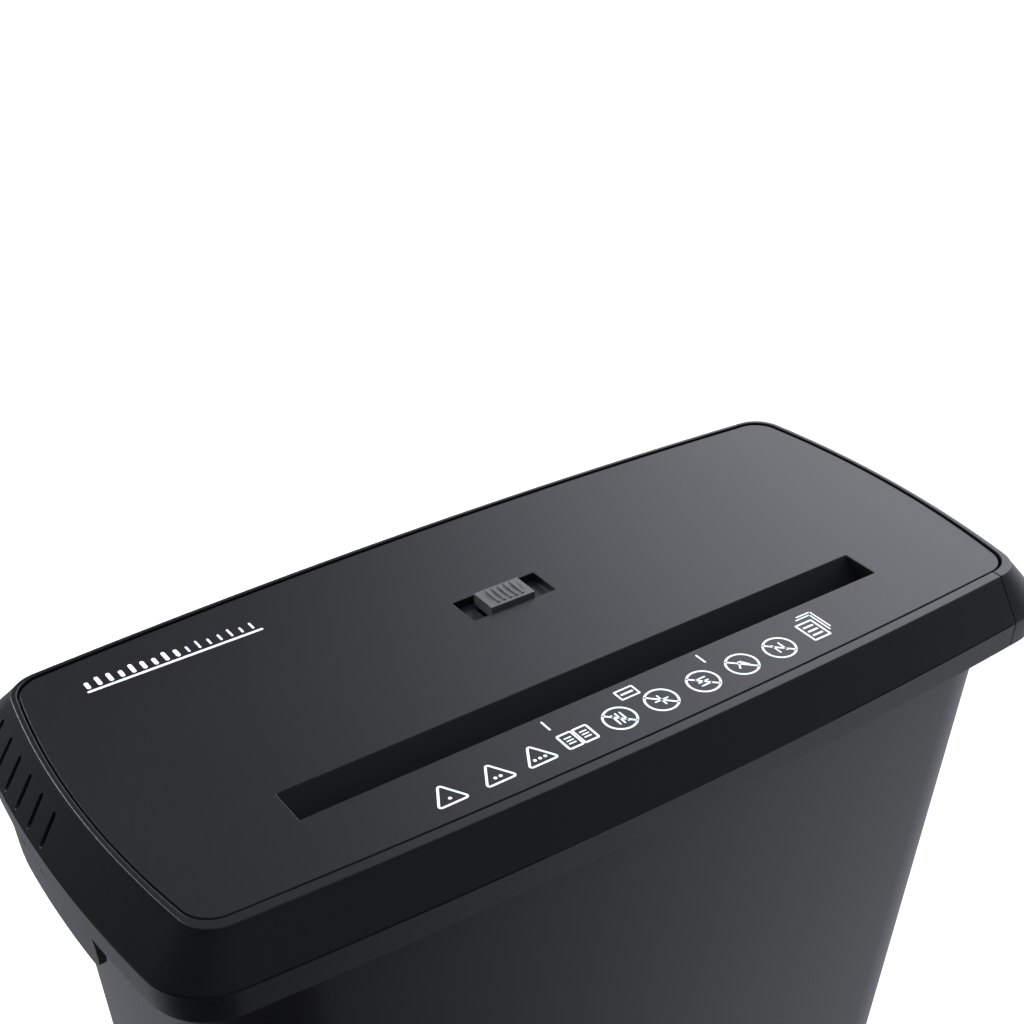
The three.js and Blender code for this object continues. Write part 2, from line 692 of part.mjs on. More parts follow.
for (const side of [-1, 1]) {
  for (const offset of [-GAP - PLATE_SLOT_RIB, PLATE_THICK + GAP]) {
    const x = side > 0 ? PLATE_X + offset : -PLATE_X - offset - PLATE_SLOT_RIB;
    plateRibs.push(box(x, x + PLATE_SLOT_RIB, RIGHT_PLATE_FOOT - 14, RIGHT_PLATE_FOOT, ribBottom, ribTop));
    plateRibs.push(box(x, x + PLATE_SLOT_RIB, -PLATE_REACH, 4 - PLATE_REACH, ribBottom, ribTop));
  }
}
const boardTop = TOP - BOARD.drop;
const boardScrewPlaces = [
  [BOARD.x + BOARD.screwInset, BOARD.y + BOARD.screwInset],
  [BOARD.x + BOARD.length - BOARD.screwInset, BOARD.y + BOARD.depth - BOARD.screwInset],
];
const boardPosts = boardScrewPlaces.map(([x, y]) =>
  rodZ(x, y, SCREW.boss, TUB_BOTTOM + TUB.wall - 0.5, boardTop - BOARD.thick - GAP, 14),
);
const boardPilots = boardScrewPlaces.map(([x, y]) =>
  rodZ(x, y, SCREW.radius + GAP, boardTop - 12, boardTop, 10),
);
const glandZ = TOP - GLAND.drop;
const skirtBackY = (x) =>
  PANEL.depth / 2 + CREASE_OUT_SIDE - PANEL.bowRear * (x / (PANEL.length / 2 + CREASE_OUT_END)) ** 2;
const rodY = (x, z, radius, y0, y1, segments) => {
  const geometry = new THREE.CylinderGeometry(radius, radius, y1 - y0, segments);
  geometry.translate(x, (y0 + y1) / 2, z);
  return solid(geometry);
};
const glandY = skirtBackY(GLAND.x);
const interlockHole = box(
  INTERLOCK.x - INTERLOCK.size / 2 - GAP,
  INTERLOCK.x + INTERLOCK.size / 2 + GAP,
  -INTERLOCK.size / 2 - GAP,
  INTERLOCK.size / 2 + GAP,
  FLOOR_BOTTOM - 1,
  FLOOR_TOP + 1,
);
const screwHole = ([x, y]) => rodZ(x, y, SCREW.radius + GAP, FLOOR_BOTTOM - 1, FLOOR_TOP + 1, 10);

const housingSkirt = loft([skirtRing(SKIRT_DROP), skirtRing(CREASE_DROP + GAP)])
  .subtract(skirtHollow)
  .intersect(leftOfSeam);
const floorAndTub = cut(floorPlate.add(tubOuter), [tubInner]);
const clearOfCap = loft([skirtRing(SKIRT_DROP + 3, WALL + GAP), skirtRing(CREASE_DROP, WALL + GAP)]);
const rightFloor = floorAndTub.intersect(clearOfCap);
const belowSeam = box(-FAR, CAP_SEAM_X - GAP / 2, -FAR, FAR, TUB_BOTTOM - 1, TOP - TUB.drop / 2 + 1);
const leftFloor = floorAndTub.intersect(leftOfSeam.add(belowSeam));
const lowerHousing = cut(
  joined([leftFloor, rightFloor, housingSkirt, leftGrip, ...plateRibs, ...boardPosts]),
  [
    outlet,
    interlockHole,
    ...boardPilots,
    ...coverScrewPlaces.map(screwHole),
    ...capScrewPlaces.map(screwHole),
    rodY(GLAND.x, glandZ, GLAND.radius + GAP, glandY - 8, glandY + 8, 16),
  ],
);
addPiece("lower_housing", lowerHousing, "housing_plastic");

coverScrewPlaces.forEach((place, i) => {
  addPiece(`cover_screw_${i + 1}`, screwUp(...place, FLOOR_BOTTOM - GAP, LEDGE_BOTTOM - 3), "screw_steel");
});
capScrewPlaces.forEach((place, i) => {
  addPiece(`end_cap_screw_${i + 1}`, screwUp(...place, FLOOR_BOTTOM - GAP, LEDGE_BOTTOM - 3), "screw_steel");
});

// Cord gland: a flanged bush in the rear of the skirt, with the cord's hole through it.
const glandBody = joined([
  rodY(GLAND.x, glandZ, GLAND.radius, glandY - 7, glandY + 3, 16),
  rodY(GLAND.x, glandZ, GLAND.radius + GLAND.rim, glandY + 2 * GAP, glandY + 2 * GAP + GLAND.flange, 16),
]).subtract(rodY(GLAND.x, glandZ, GLAND.radius - 1.2, glandY - 12, glandY + 8, 12));
addPiece("cord_gland", glandBody, "rubber");

// ---------------------------------------------------------------- cutting unit

const plateTop = TOP - PLATE_TOP_DROP;
const plateBottom = TOP - PLATE_BOTTOM_DROP;
const bushHole = (y, extra) => circle(y, CUTTER_Z, BUSH.radius + extra, 20);
const flangeClearHole = (y, z, r) => circle(y, z, r, 16);
const tieRodPlaces = [
  [THROAT_Y - TIE_ROD_OUT, TOP - TIE_ROD_DROP],
  [THROAT_Y + TIE_ROD_OUT, TOP - TIE_ROD_DROP],
];
const leftPlateHoles = [
  bushHole(FRONT_SHAFT_Y, GAP),
  bushHole(REAR_SHAFT_Y, GAP),
  ...tieRodPlaces.map(([y, z]) => flangeClearHole(y, z, TIE_ROD_RADIUS + GAP)),
  flangeClearHole(LOW_Y, LOW_Z, AXLE_RADIUS + GAP),
  flangeClearHole(HIGH_Y, HIGH_Z, AXLE_RADIUS + GAP),
  flangeClearHole(MOTOR_Y, MOTOR_Z, 8),
];
const motorScrewPlaces = [-1, 1].map((s) => [MOTOR_Y + s * 14, MOTOR_Z]);
leftPlateHoles.push(...motorScrewPlaces.map(([y, z]) => flangeClearHole(y, z, SCREW.radius + GAP)));
const leftPlateOutline = [
  [-PLATE_REACH, plateBottom],
  [PLATE_REACH, plateBottom],
  [PLATE_REACH, plateTop - PLATE_CORNER],
  [PLATE_REACH - PLATE_CORNER, plateTop],
  [PLATE_CORNER - PLATE_REACH, plateTop],
  [-PLATE_REACH, plateTop - PLATE_CORNER],
];
const rightPlateOutline = [
  [-PLATE_REACH, plateBottom],
  [RIGHT_PLATE_FOOT, plateBottom],
  [RIGHT_PLATE_FOOT, plateBottom + 12],
  [THROAT_Y + 26, plateBottom + 34],
  [THROAT_Y + 26, plateTop],
  [PLATE_CORNER - PLATE_REACH, plateTop],
  [-PLATE_REACH, plateTop - PLATE_CORNER],
];
addPiece(
  "side_plate_left",
  sweptX(leftPlateOutline, -PLATE_X - PLATE_THICK, -PLATE_X, leftPlateHoles),
  "plate_steel",
);
addPiece(
  "side_plate_right",
  sweptX(rightPlateOutline, PLATE_X, PLATE_X + PLATE_THICK, leftPlateHoles.slice(0, 4)),
  "plate_steel",
);

function bush(y, side) {
  const tube = (radius, from, to) => {
    const ends = [side * from, side * to];
    return rodX(y, CUTTER_Z, radius, Math.min(...ends), Math.max(...ends), 20);
  };
  const inner = PLATE_X - GAP - BUSH.flangeThick;
  const outer = PLATE_X + PLATE_THICK + 0.4;
  const flange = tube(BUSH.flange, inner, PLATE_X - GAP);
  const sleeve = tube(BUSH.radius, inner, outer);
  return flange.add(sleeve).subtract(tube(JOURNAL_RADIUS + RUNNING_GAP, inner - 1, outer + 1));
}
addPiece("bush_front_left", bush(FRONT_SHAFT_Y, -1), "bronze");
addPiece("bush_front_right", bush(FRONT_SHAFT_Y, 1), "bronze");
addPiece("bush_rear_left", bush(REAR_SHAFT_Y, -1), "bronze");
addPiece("bush_rear_right", bush(REAR_SHAFT_Y, 1), "bronze");

tieRodPlaces.forEach(([y, z], i) => {
  const rod = rodX(y, z, TIE_ROD_RADIUS, -PLATE_X - PLATE_THICK - 0.6, PLATE_X + PLATE_THICK + 2.4, 14);
  addPiece(i ? "tie_rod_rear" : "tie_rod_front", rod, "screw_steel");
});

// Cutter discs: hooked outlines stacked on a core, each turned a little from the one before.
function discOutline(y, turn) {
  const points = [];
  for (let i = 0; i < DISC.hooks; i++) {
    const start = turn + (i / DISC.hooks) * Math.PI * 2;
    const sweep = (Math.PI * 2) / DISC.hooks;
    points.push([DISC.radius - DISC.hookDepth, start]);
    for (let k = 0; k < 3; k++) points.push([DISC.radius, start + 0.12 + ((sweep - 0.42) * k) / 2]);
  }
  return points.map(([r, angle]) => [y + r * Math.cos(angle), CUTTER_Z + r * Math.sin(angle)]);
}
const cutterLeft = -PLATE_X + BUSH.flangeThick + 2 * GAP + 0.3;
const cutterRight = -cutterLeft;
const firstDisc = -((DISC_COUNT - 1) / 2) * DISC.pitch;
function cutterShaft(y, shift, count, leftEnd) {
  const core = rodX(y, CUTTER_Z, CORE_RADIUS, cutterLeft, cutterRight, 10);
  const journal = rodX(y, CUTTER_Z, JOURNAL_RADIUS, leftEnd, PLATE_X + PLATE_THICK + 3, 14);
  const discs = [];
  for (let i = 0; i < count; i++) {
    const x = firstDisc + shift + i * DISC.pitch;
    const turn = (i % 5) * 0.42 + (shift ? 0.2 : 0);
    discs.push(sweptX(discOutline(y, turn), x - DISC.thick / 2, x + DISC.thick / 2));
  }
  return joined([core, journal, ...discs]);
}
const shaftTip = layerX(1) + 0.4;
addPiece("cutter_shaft_front", cutterShaft(FRONT_SHAFT_Y, 0, DISC_COUNT, shaftTip), "cutter_steel");
addPiece(
  "cutter_shaft_rear",
  cutterShaft(REAR_SHAFT_Y, DISC.pitch / 2, DISC_COUNT - 1, layerX(3) + 0.5),
  "cutter_steel",
);

// Stripper combs: one finger in each gap between discs, joined by a bar under the cylinder.
// Each finger cups the lower, outer part of the core with a hollow edge.
function comb(sign, shaftY, shift, count) {
  const place = (points) => {
    const placed = points.map(([out, up]) => [shaftY + sign * out, CUTTER_Z + up]);
    return sign > 0 ? placed : placed.reverse();
  };
  const barBottom = COMB_BAR.top - COMB_BAR.deep;
  const bar = place([
    [COMB_BAR.inner, barBottom],
    [COMB_BAR.outer, barBottom],
    [COMB_BAR.outer, COMB_BAR.top],
    [COMB_BAR.inner, COMB_BAR.top],
  ]);
  const cupRadius = CORE_RADIUS + FINGER_CLEAR;
  const cup = [-20, -45, -75].map((degrees) => polar(0, 0, cupRadius / Math.cos(0.26), degrees));
  const finger = place([
    [COMB_BAR.inner + 0.2, barBottom + 0.2],
    [COMB_BAR.outer - 0.4, COMB_BAR.top - 0.4],
    [cupRadius + 1.5, cup[0][1]],
    ...cup,
    [cup[2][0] - 0.5, cup[2][1] - 2],
    [COMB_BAR.inner - 4.6, barBottom + 3],
  ]);
  const fingers = [];
  for (let i = 0; i < count; i++) {
    const x = firstDisc + shift + i * DISC.pitch;
    fingers.push(sweptX(finger, x - FINGER_THICK / 2, x + FINGER_THICK / 2));
  }
  return joined([sweptX(bar, cutterLeft + 1, cutterRight - 1), ...fingers]);
}
addPiece("stripper_comb_front", comb(-1, FRONT_SHAFT_Y, DISC.pitch / 2, DISC_COUNT - 1), "inner_plastic");
addPiece("stripper_comb_rear", comb(1, REAR_SHAFT_Y, 0, DISC_COUNT), "inner_plastic");

// Feed guides: two plates that carry the paper from the funnel down to the cutters.
const guideTop = FUNNEL_BOTTOM - GAP;
const guideBottom = CUTTER_Z + DISC.radius + 1;
const guideEnd = PLATE_X - BUSH.flangeThick - 2 * GAP;
const sensorWindow = box(
  -SENSOR.width / 2 - 1,
  SENSOR.width / 2 + 1,
  THROAT_BACK - 1,
  THROAT_BACK + 20,
  TOP - SENSOR.pivotDrop - 7,
  TOP - SENSOR.pivotDrop + 4,
);
function guide(sign, face) {
  const outline = [
    [face, guideBottom],
    [face, guideTop],
    [face + sign * GUIDE_THICK, guideTop],
    [face + sign * GUIDE_THICK, guideBottom + 3],
    [face + sign * GUIDE_FOOT, guideBottom + 3],
    [face + sign * GUIDE_FOOT, guideBottom + 1.4],
    [face + sign * GUIDE_THICK, guideBottom],
  ];
  return sweptX(sign < 0 ? outline : outline.reverse(), -guideEnd, guideEnd);
}
addPiece("feed_guide_front", guide(-1, THROAT_FRONT), "inner_plastic");
addPiece("feed_guide_rear", guide(1, THROAT_BACK).subtract(sensorWindow), "inner_plastic");

// ---------------------------------------------------------------- gear train

const toAngle = (y0, z0, y1, z1) => Math.atan2(z1 - z0, y1 - y0);
function gear(y, z, module, teeth, layer, towards, gapFirst, bore) {
  const right = layerX(layer);
  const hole = bore ? [circle(y, z, bore, 14)] : [];
  return sweptX(gearOutline(y, z, module, teeth, towards, gapFirst), right - GEAR_THICK, right, hole);
}
const shaftBore = JOURNAL_RADIUS + GAP;
const axleBore = AXLE_RADIUS + RUNNING_GAP;
addPiece(
  "sync_gear_front",
  gear(FRONT_SHAFT_Y, CUTTER_Z, SYNC.module, SYNC.teeth, 0, 0, true, shaftBore),
  "gear_steel",
);
addPiece(
  "sync_gear_rear",
  gear(REAR_SHAFT_Y, CUTTER_Z, SYNC.module, SYNC.teeth, 0, Math.PI, false, shaftBore),
  "gear_steel",
);
const finalToLow = toAngle(REAR_SHAFT_Y, CUTTER_Z, LOW_Y, LOW_Z);
const lowToHigh = toAngle(LOW_Y, LOW_Z, HIGH_Y, HIGH_Z);
const highToMotor = toAngle(HIGH_Y, HIGH_Z, MOTOR_Y, MOTOR_Z);
addPiece(
  "final_gear",
  gear(REAR_SHAFT_Y, CUTTER_Z, FINAL.module, FINAL.teeth, 2, finalToLow, false, shaftBore),
  "gear_steel",
);

function compoundGear(y, z, wheel, pinion, axle) {
  const hubLeft = layerX(pinion.layer) - GEAR_THICK;
  const hub = rodX(y, z, AXLE_RADIUS + 1.6, hubLeft, layerX(wheel.layer), 14);
  const bodies = [
    gear(y, z, wheel.module, wheel.teeth, wheel.layer, wheel.towards, wheel.gap),
    gear(y, z, pinion.module, pinion.teeth, pinion.layer, pinion.towards, pinion.gap),
    hub,
  ];
  return joined(bodies).subtract(rodX(y, z, axle, hubLeft - 1, layerX(wheel.layer) + 1, 14));
}
const lowGear = compoundGear(
  LOW_Y,
  LOW_Z,
  { module: LOW.module, teeth: LOW.wheel, layer: 1, towards: lowToHigh, gap: false },
  { module: FINAL.module, teeth: LOW.pinion, layer: 2, towards: finalToLow + Math.PI, gap: true },
  axleBore,
);
addPiece("compound_gear_low", lowGear, "gear_plastic");
const highGear = compoundGear(
  HIGH_Y,
  HIGH_Z,
  { module: HIGH.module, teeth: HIGH.wheel, layer: 0, towards: highToMotor, gap: false },
  { module: LOW.module, teeth: HIGH.pinion, layer: 1, towards: lowToHigh + Math.PI, gap: true },
  axleBore,
);
addPiece("compound_gear_high", highGear, "gear_plastic");

const axleEnd = GEAR_PLATE_X - GEAR_PLATE_THICK - 0.5;
addPiece("gear_axle_low", rodX(LOW_Y, LOW_Z, AXLE_RADIUS, axleEnd, -PLATE_X, 14), "screw_steel");
addPiece("gear_axle_high", rodX(HIGH_Y, HIGH_Z, AXLE_RADIUS, axleEnd, -PLATE_X, 14), "screw_steel");

const gearPlateOutline = [
  [LOW_Y - 10, LOW_Z - 12],
  [HIGH_Y + 14, LOW_Z - 12],
  [HIGH_Y + 14, HIGH_Z + 14],
  [LOW_Y - 10, HIGH_Z + 14],
];
const gearPlate = sweptX(gearPlateOutline, GEAR_PLATE_X - GEAR_PLATE_THICK, GEAR_PLATE_X, [
  circle(LOW_Y, LOW_Z, AXLE_RADIUS + GAP, 14),
  circle(HIGH_Y, HIGH_Z, AXLE_RADIUS + GAP, 14),
]);
addPiece("gear_plate", gearPlate, "plate_steel");

// ---------------------------------------------------------------- motor

const motorBore = 9; // round the bearing in the can's front
const canShell = cut(rodX(MOTOR_Y, MOTOR_Z, MOTOR.radius, MOTOR_FRONT_X, MOTOR_BACK_X - 8, 28), [
  rodX(MOTOR_Y, MOTOR_Z, MOTOR.radius - MOTOR.wall, MOTOR_FRONT_X + 2, MOTOR_BACK_X, 28),
  rodX(MOTOR_Y, MOTOR_Z, motorBore, MOTOR_FRONT_X - 1, MOTOR_FRONT_X + 3, 16),
  ...motorScrewPlaces.map(([y, z]) =>
    rodX(y, z, SCREW.radius + GAP, MOTOR_FRONT_X - 1, MOTOR_FRONT_X + 3, 10),
  ),
]);
addPiece("motor_can", canShell, "motor_can");
const bell = cut(rodX(MOTOR_Y, MOTOR_Z, MOTOR.radius, MOTOR_BACK_X - 8 + GAP, MOTOR_BACK_X, 28), [
  rodX(MOTOR_Y, MOTOR_Z, MOTOR.radius - 3, MOTOR_BACK_X - 9, MOTOR_BACK_X - 2.4, 28),
  rodX(MOTOR_Y, MOTOR_Z, MOTOR.shaft + RUNNING_GAP, MOTOR_BACK_X - 3, MOTOR_BACK_X + 1, 12),
]);
addPiece("motor_end_bell", bell, "inner_plastic");
motorScrewPlaces.forEach(([y, z], i) => {
  const shank = rodX(y, z, SCREW.radius, -PLATE_X - PLATE_THICK - GAP - 0.1, MOTOR_FRONT_X + 4, 10);
  const headEnd = -PLATE_X - PLATE_THICK - GAP;
  const head = rodX(y, z, SCREW.head, headEnd - 0.6, headEnd, 12);
  addPiece(`motor_screw_${i + 1}`, head.add(shank), "screw_steel");
});

const rotor = joined([
  rodX(MOTOR_Y, MOTOR_Z, MOTOR.shaft, layerX(0) - GEAR_THICK - 0.4, MOTOR_BACK_X + 3, 12),
  rodX(MOTOR_Y, MOTOR_Z, MOTOR.core, MOTOR_FRONT_X + 18, MOTOR_BACK_X - 14, 18),
]);
addPiece("motor_rotor", rotor, "cutter_steel");
const pinion = gear(
  MOTOR_Y,
  MOTOR_Z,
  HIGH.module,
  MOTOR_PINION.teeth,
  0,
  highToMotor + Math.PI,
  true,
  MOTOR.shaft + GAP,
);
addPiece("motor_pinion", pinion, "gear_steel");

const fanLeft = MOTOR_FRONT_X + 5;
const blades = [];
for (let i = 0; i < FAN.blades; i++) {
  const blade = new THREE.BoxGeometry(FAN.thick, FAN.radius - FAN.hub + 1, 1.2);
  blade.translate(fanLeft + FAN.thick / 2, (FAN.radius + FAN.hub) / 2 - 0.5, 0);
  blade.rotateX((i / FAN.blades) * Math.PI * 2);
  blade.translate(0, MOTOR_Y, MOTOR_Z);
  blades.push(solid(blade));
}
const fan = joined([rodX(MOTOR_Y, MOTOR_Z, FAN.hub, fanLeft, fanLeft + FAN.thick, 14), ...blades]).subtract(
  rodX(MOTOR_Y, MOTOR_Z, MOTOR.shaft + GAP, fanLeft - 1, fanLeft + FAN.thick + 1, 12),
);
addPiece("cooling_fan", fan, "inner_plastic");

// ---------------------------------------------------------------- sensor, interlock, electronics

const sensorY = THROAT_BACK + SENSOR.pivotBack;
const sensorZ = TOP - SENSOR.pivotDrop;
const leverOutline = [
  [sensorY + 3, sensorZ + 2],
  [sensorY - 3, sensorZ + 2.4],
  [THROAT_Y - 0.4, sensorZ + 1],
  [THROAT_Y - 0.8, sensorZ - 0.6],
  [sensorY - 3, sensorZ - 2.4],
  [sensorY + 3, sensorZ - 2],
];
const lever = joined([
  sweptX(leverOutline, -SENSOR.width / 2, SENSOR.width / 2),
  rodX(sensorY, sensorZ, SENSOR.pinRadius, -SENSOR.width / 2 - 3, SENSOR.width / 2 + 3, 12),
]);
addPiece("sensor_lever", lever, "gear_plastic");
const cheekInner = SENSOR.width / 2 + 0.6;
const cheekOuter = cheekInner + 1.6;
const sensorBlock = (x0, x1, front, back) =>
  box(x0, x1, sensorY + front, sensorY + back, sensorZ - 3.5, sensorZ + 6);
const sensorHousing = cut(
  joined([
    sensorBlock(cheekInner, cheekOuter, -4, 6),
    sensorBlock(-cheekOuter, -cheekInner, -4, 6),
    sensorBlock(-cheekOuter, cheekOuter, 5, 12),
  ]),
  [rodX(sensorY, sensorZ, SENSOR.pinRadius + RUNNING_GAP, -10, 10, 12)],
);
addPiece("sensor_switch", sensorHousing, "inner_plastic");

const plunger = box(
  INTERLOCK.x - INTERLOCK.size / 2,
  INTERLOCK.x + INTERLOCK.size / 2,
  -INTERLOCK.size / 2,
  INTERLOCK.size / 2,
  RIM_Z + GAP,
  FLOOR_TOP + INTERLOCK.proud,
);
addPiece("interlock_plunger", plunger, "gear_plastic");
const interlockBody = box(
  INTERLOCK.x - INTERLOCK.bodyLength / 2,
  INTERLOCK.x + INTERLOCK.bodyLength / 2,
  -INTERLOCK.bodyDepth / 2,
  INTERLOCK.bodyDepth / 2,
  FLOOR_TOP + GAP,
  LEDGE_BOTTOM - 0.5,
).subtract(
  box(
    INTERLOCK.x - INTERLOCK.size / 2 - GAP,
    INTERLOCK.x + INTERLOCK.size / 2 + GAP,
    -INTERLOCK.size / 2 - GAP,
    INTERLOCK.size / 2 + GAP,
    FLOOR_TOP - 1,
    FLOOR_TOP + INTERLOCK.proud + INTERLOCK.travel + 1,
  ),
);
addPiece("interlock_switch", interlockBody, "inner_plastic");

const board = cut(
  box(BOARD.x, BOARD.x + BOARD.length, BOARD.y, BOARD.y + BOARD.depth, boardTop - BOARD.thick, boardTop),
  boardScrewPlaces.map(([x, y]) => rodZ(x, y, SCREW.radius + GAP, boardTop - 3, boardTop + 1, 10)),
);
addPiece("control_board", board, "board_green");
boardScrewPlaces.forEach(([x, y], i) => {
  const head = rodZ(x, y, SCREW.head, boardTop + GAP, boardTop + GAP + SCREW.headHigh, 12);
  const shank = rodZ(x, y, SCREW.radius, boardTop - 8, boardTop + GAP + 0.1, 10);
  addPiece(`board_screw_${i + 1}`, head.add(shank), "screw_steel");
});
const onBoard = (x, y) => [BOARD.x + x, BOARD.y + y];
const [relayX, relayY] = onBoard(30, 14);
addPiece("relay", box(relayX, relayX + 19, relayY, relayY + 15, boardTop + GAP, boardTop + 16), "part_blue");
const [capX, capY] = onBoard(62, 14);
addPiece("filter_capacitor", box(capX, capX + 18, capY, capY + 9, boardTop + GAP, boardTop + 15), "bronze");

// ---------------------------------------------------------------- waste bin

const binOuter = loft([
  binRing(BIN_FLOOR_Z, BIN_HEEL),
  binRing(BIN_FLOOR_Z + BIN_HEEL, 0),
  binRing(RIM_Z - 0.6, 0),
  binRing(RIM_Z, 0.6),
]);
const binInner = loft([
  binRing(BIN_FLOOR_Z + BIN_WALL, BIN_HEEL + BIN_WALL),
  binRing(BIN_FLOOR_Z + BIN_WALL + BIN_HEEL, BIN_WALL),
  binRing(RIM_Z + 1, BIN_WALL),
]);
const footX = BIN.length / 2 - BIN_DRAFT_END * RIM_Z - FOOT.insetX;
const footY = BIN.depth / 2 - BIN_DRAFT_SIDE * RIM_Z - FOOT.insetY;
const feet = [];
for (const sx of [-1, 1]) {
  for (const sy of [-1, 1]) {
    const name = `foot_${sy < 0 ? "front" : "rear"}_${sx < 0 ? "left" : "right"}`;
    feet.push([name, sx * footX, sy * footY]);
  }
}
const footSockets = feet.map(([, x, y]) => rodZ(x, y, FOOT.radius + GAP, 0, BIN_FLOOR_Z + FOOT.socket, 20));
addPiece("bin_body", cut(binOuter, [binInner, ...footSockets]), "bin_plastic");
for (const [name, x, y] of feet) {
  addPiece(name, rodZ(x, y, FOOT.radius, 0, BIN_FLOOR_Z + FOOT.socket - GAP, 20), "rubber");
}

export default group;
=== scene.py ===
# %% [markdown]
# # A paper shredder, modelled and finished in Blender
# The machine is a cutter head with a feed slot in its flat top, sitting on a tapered waste bin. The hidden
# mechanism comes from an engineering model, which is loaded first and never moved. What shows is modelled
# again here with rounded edges and real finishes, in the same place and at the same size. Blender works in
# metres, so sizes that are given in millimetres are multiplied by `MM`.

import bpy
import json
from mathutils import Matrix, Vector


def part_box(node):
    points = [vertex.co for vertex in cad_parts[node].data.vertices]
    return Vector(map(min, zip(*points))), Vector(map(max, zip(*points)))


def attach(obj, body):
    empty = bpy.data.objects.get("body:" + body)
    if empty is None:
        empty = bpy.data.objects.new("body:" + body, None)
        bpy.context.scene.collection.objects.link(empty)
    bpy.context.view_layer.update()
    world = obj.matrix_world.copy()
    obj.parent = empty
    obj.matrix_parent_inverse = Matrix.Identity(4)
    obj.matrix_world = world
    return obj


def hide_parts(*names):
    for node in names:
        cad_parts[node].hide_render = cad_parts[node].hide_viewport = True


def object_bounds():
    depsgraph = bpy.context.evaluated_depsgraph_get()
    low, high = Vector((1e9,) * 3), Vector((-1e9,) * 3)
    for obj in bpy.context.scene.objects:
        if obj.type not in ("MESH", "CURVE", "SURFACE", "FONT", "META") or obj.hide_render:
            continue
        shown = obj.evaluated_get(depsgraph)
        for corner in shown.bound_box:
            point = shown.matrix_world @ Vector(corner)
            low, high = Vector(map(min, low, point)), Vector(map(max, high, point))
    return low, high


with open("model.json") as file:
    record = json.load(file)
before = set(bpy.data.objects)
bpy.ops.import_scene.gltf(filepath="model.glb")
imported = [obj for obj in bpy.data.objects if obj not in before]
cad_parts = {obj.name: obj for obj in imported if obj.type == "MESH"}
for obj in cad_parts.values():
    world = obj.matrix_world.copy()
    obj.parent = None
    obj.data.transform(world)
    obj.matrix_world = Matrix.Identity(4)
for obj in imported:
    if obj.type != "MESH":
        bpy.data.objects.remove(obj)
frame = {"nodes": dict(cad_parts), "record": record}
cad_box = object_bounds()
slot_of = {row["node"]: row["material_slot"] for row in frame["record"]["subparts"]}

import json
import math

import bmesh
import bpy
from mathutils import Matrix, Vector

MM = 0.001
for corner in cad_box:
    print("corner of the model:", [round(x / MM, 1) for x in corner], "mm")

# %% [markdown]
# ## The view
# A product shot from in front, to the left and above, with a lens of normal length. The camera is placed by a
# matrix: its three columns are where right, up and backwards point, and the fourth is where it stands.

# %% Camera
AZIMUTH, ELEVATION, ROLL = math.radians(34.666), math.radians(30.554), math.radians(-0.284)
CAMERA_PLACE = Vector((-0.28696, -0.401769, 0.701626))
LENS, SENSOR = 62.29, 36.0

look = Vector(
    (
        math.sin(AZIMUTH) * math.cos(ELEVATION),
        math.cos(AZIMUTH) * math.cos(ELEVATION),
        -math.sin(ELEVATION),
    )
)
level_right = Vector((math.cos(AZIMUTH), -math.sin(AZIMUTH), 0))
level_up = level_right.cross(look)
right = math.cos(ROLL) * level_right + math.sin(ROLL) * level_up
up = math.cos(ROLL) * level_up - math.sin(ROLL) * level_right

camera = bpy.data.objects.new("camera", bpy.data.cameras.new("camera"))
bpy.context.scene.collection.objects.link(camera)
camera.data.lens, camera.data.sensor_width = LENS, SENSOR
camera.data.clip_start, camera.data.clip_end = 0.02, 60
camera.matrix_world = Matrix.Translation(CAMERA_PLACE) @ Matrix((right, up, -look)).transposed().to_4x4()
bpy.context.scene.camera = camera
print("camera looks along", [round(x, 3) for x in look])

# %% [markdown]
# ## Shader maths as plain expressions
# Every finish is made of nodes. A small class wraps a socket, so that `noise * 0.1 + 0.4` adds the Math
# nodes, and one method makes any other node from its type, its settings and its inputs.


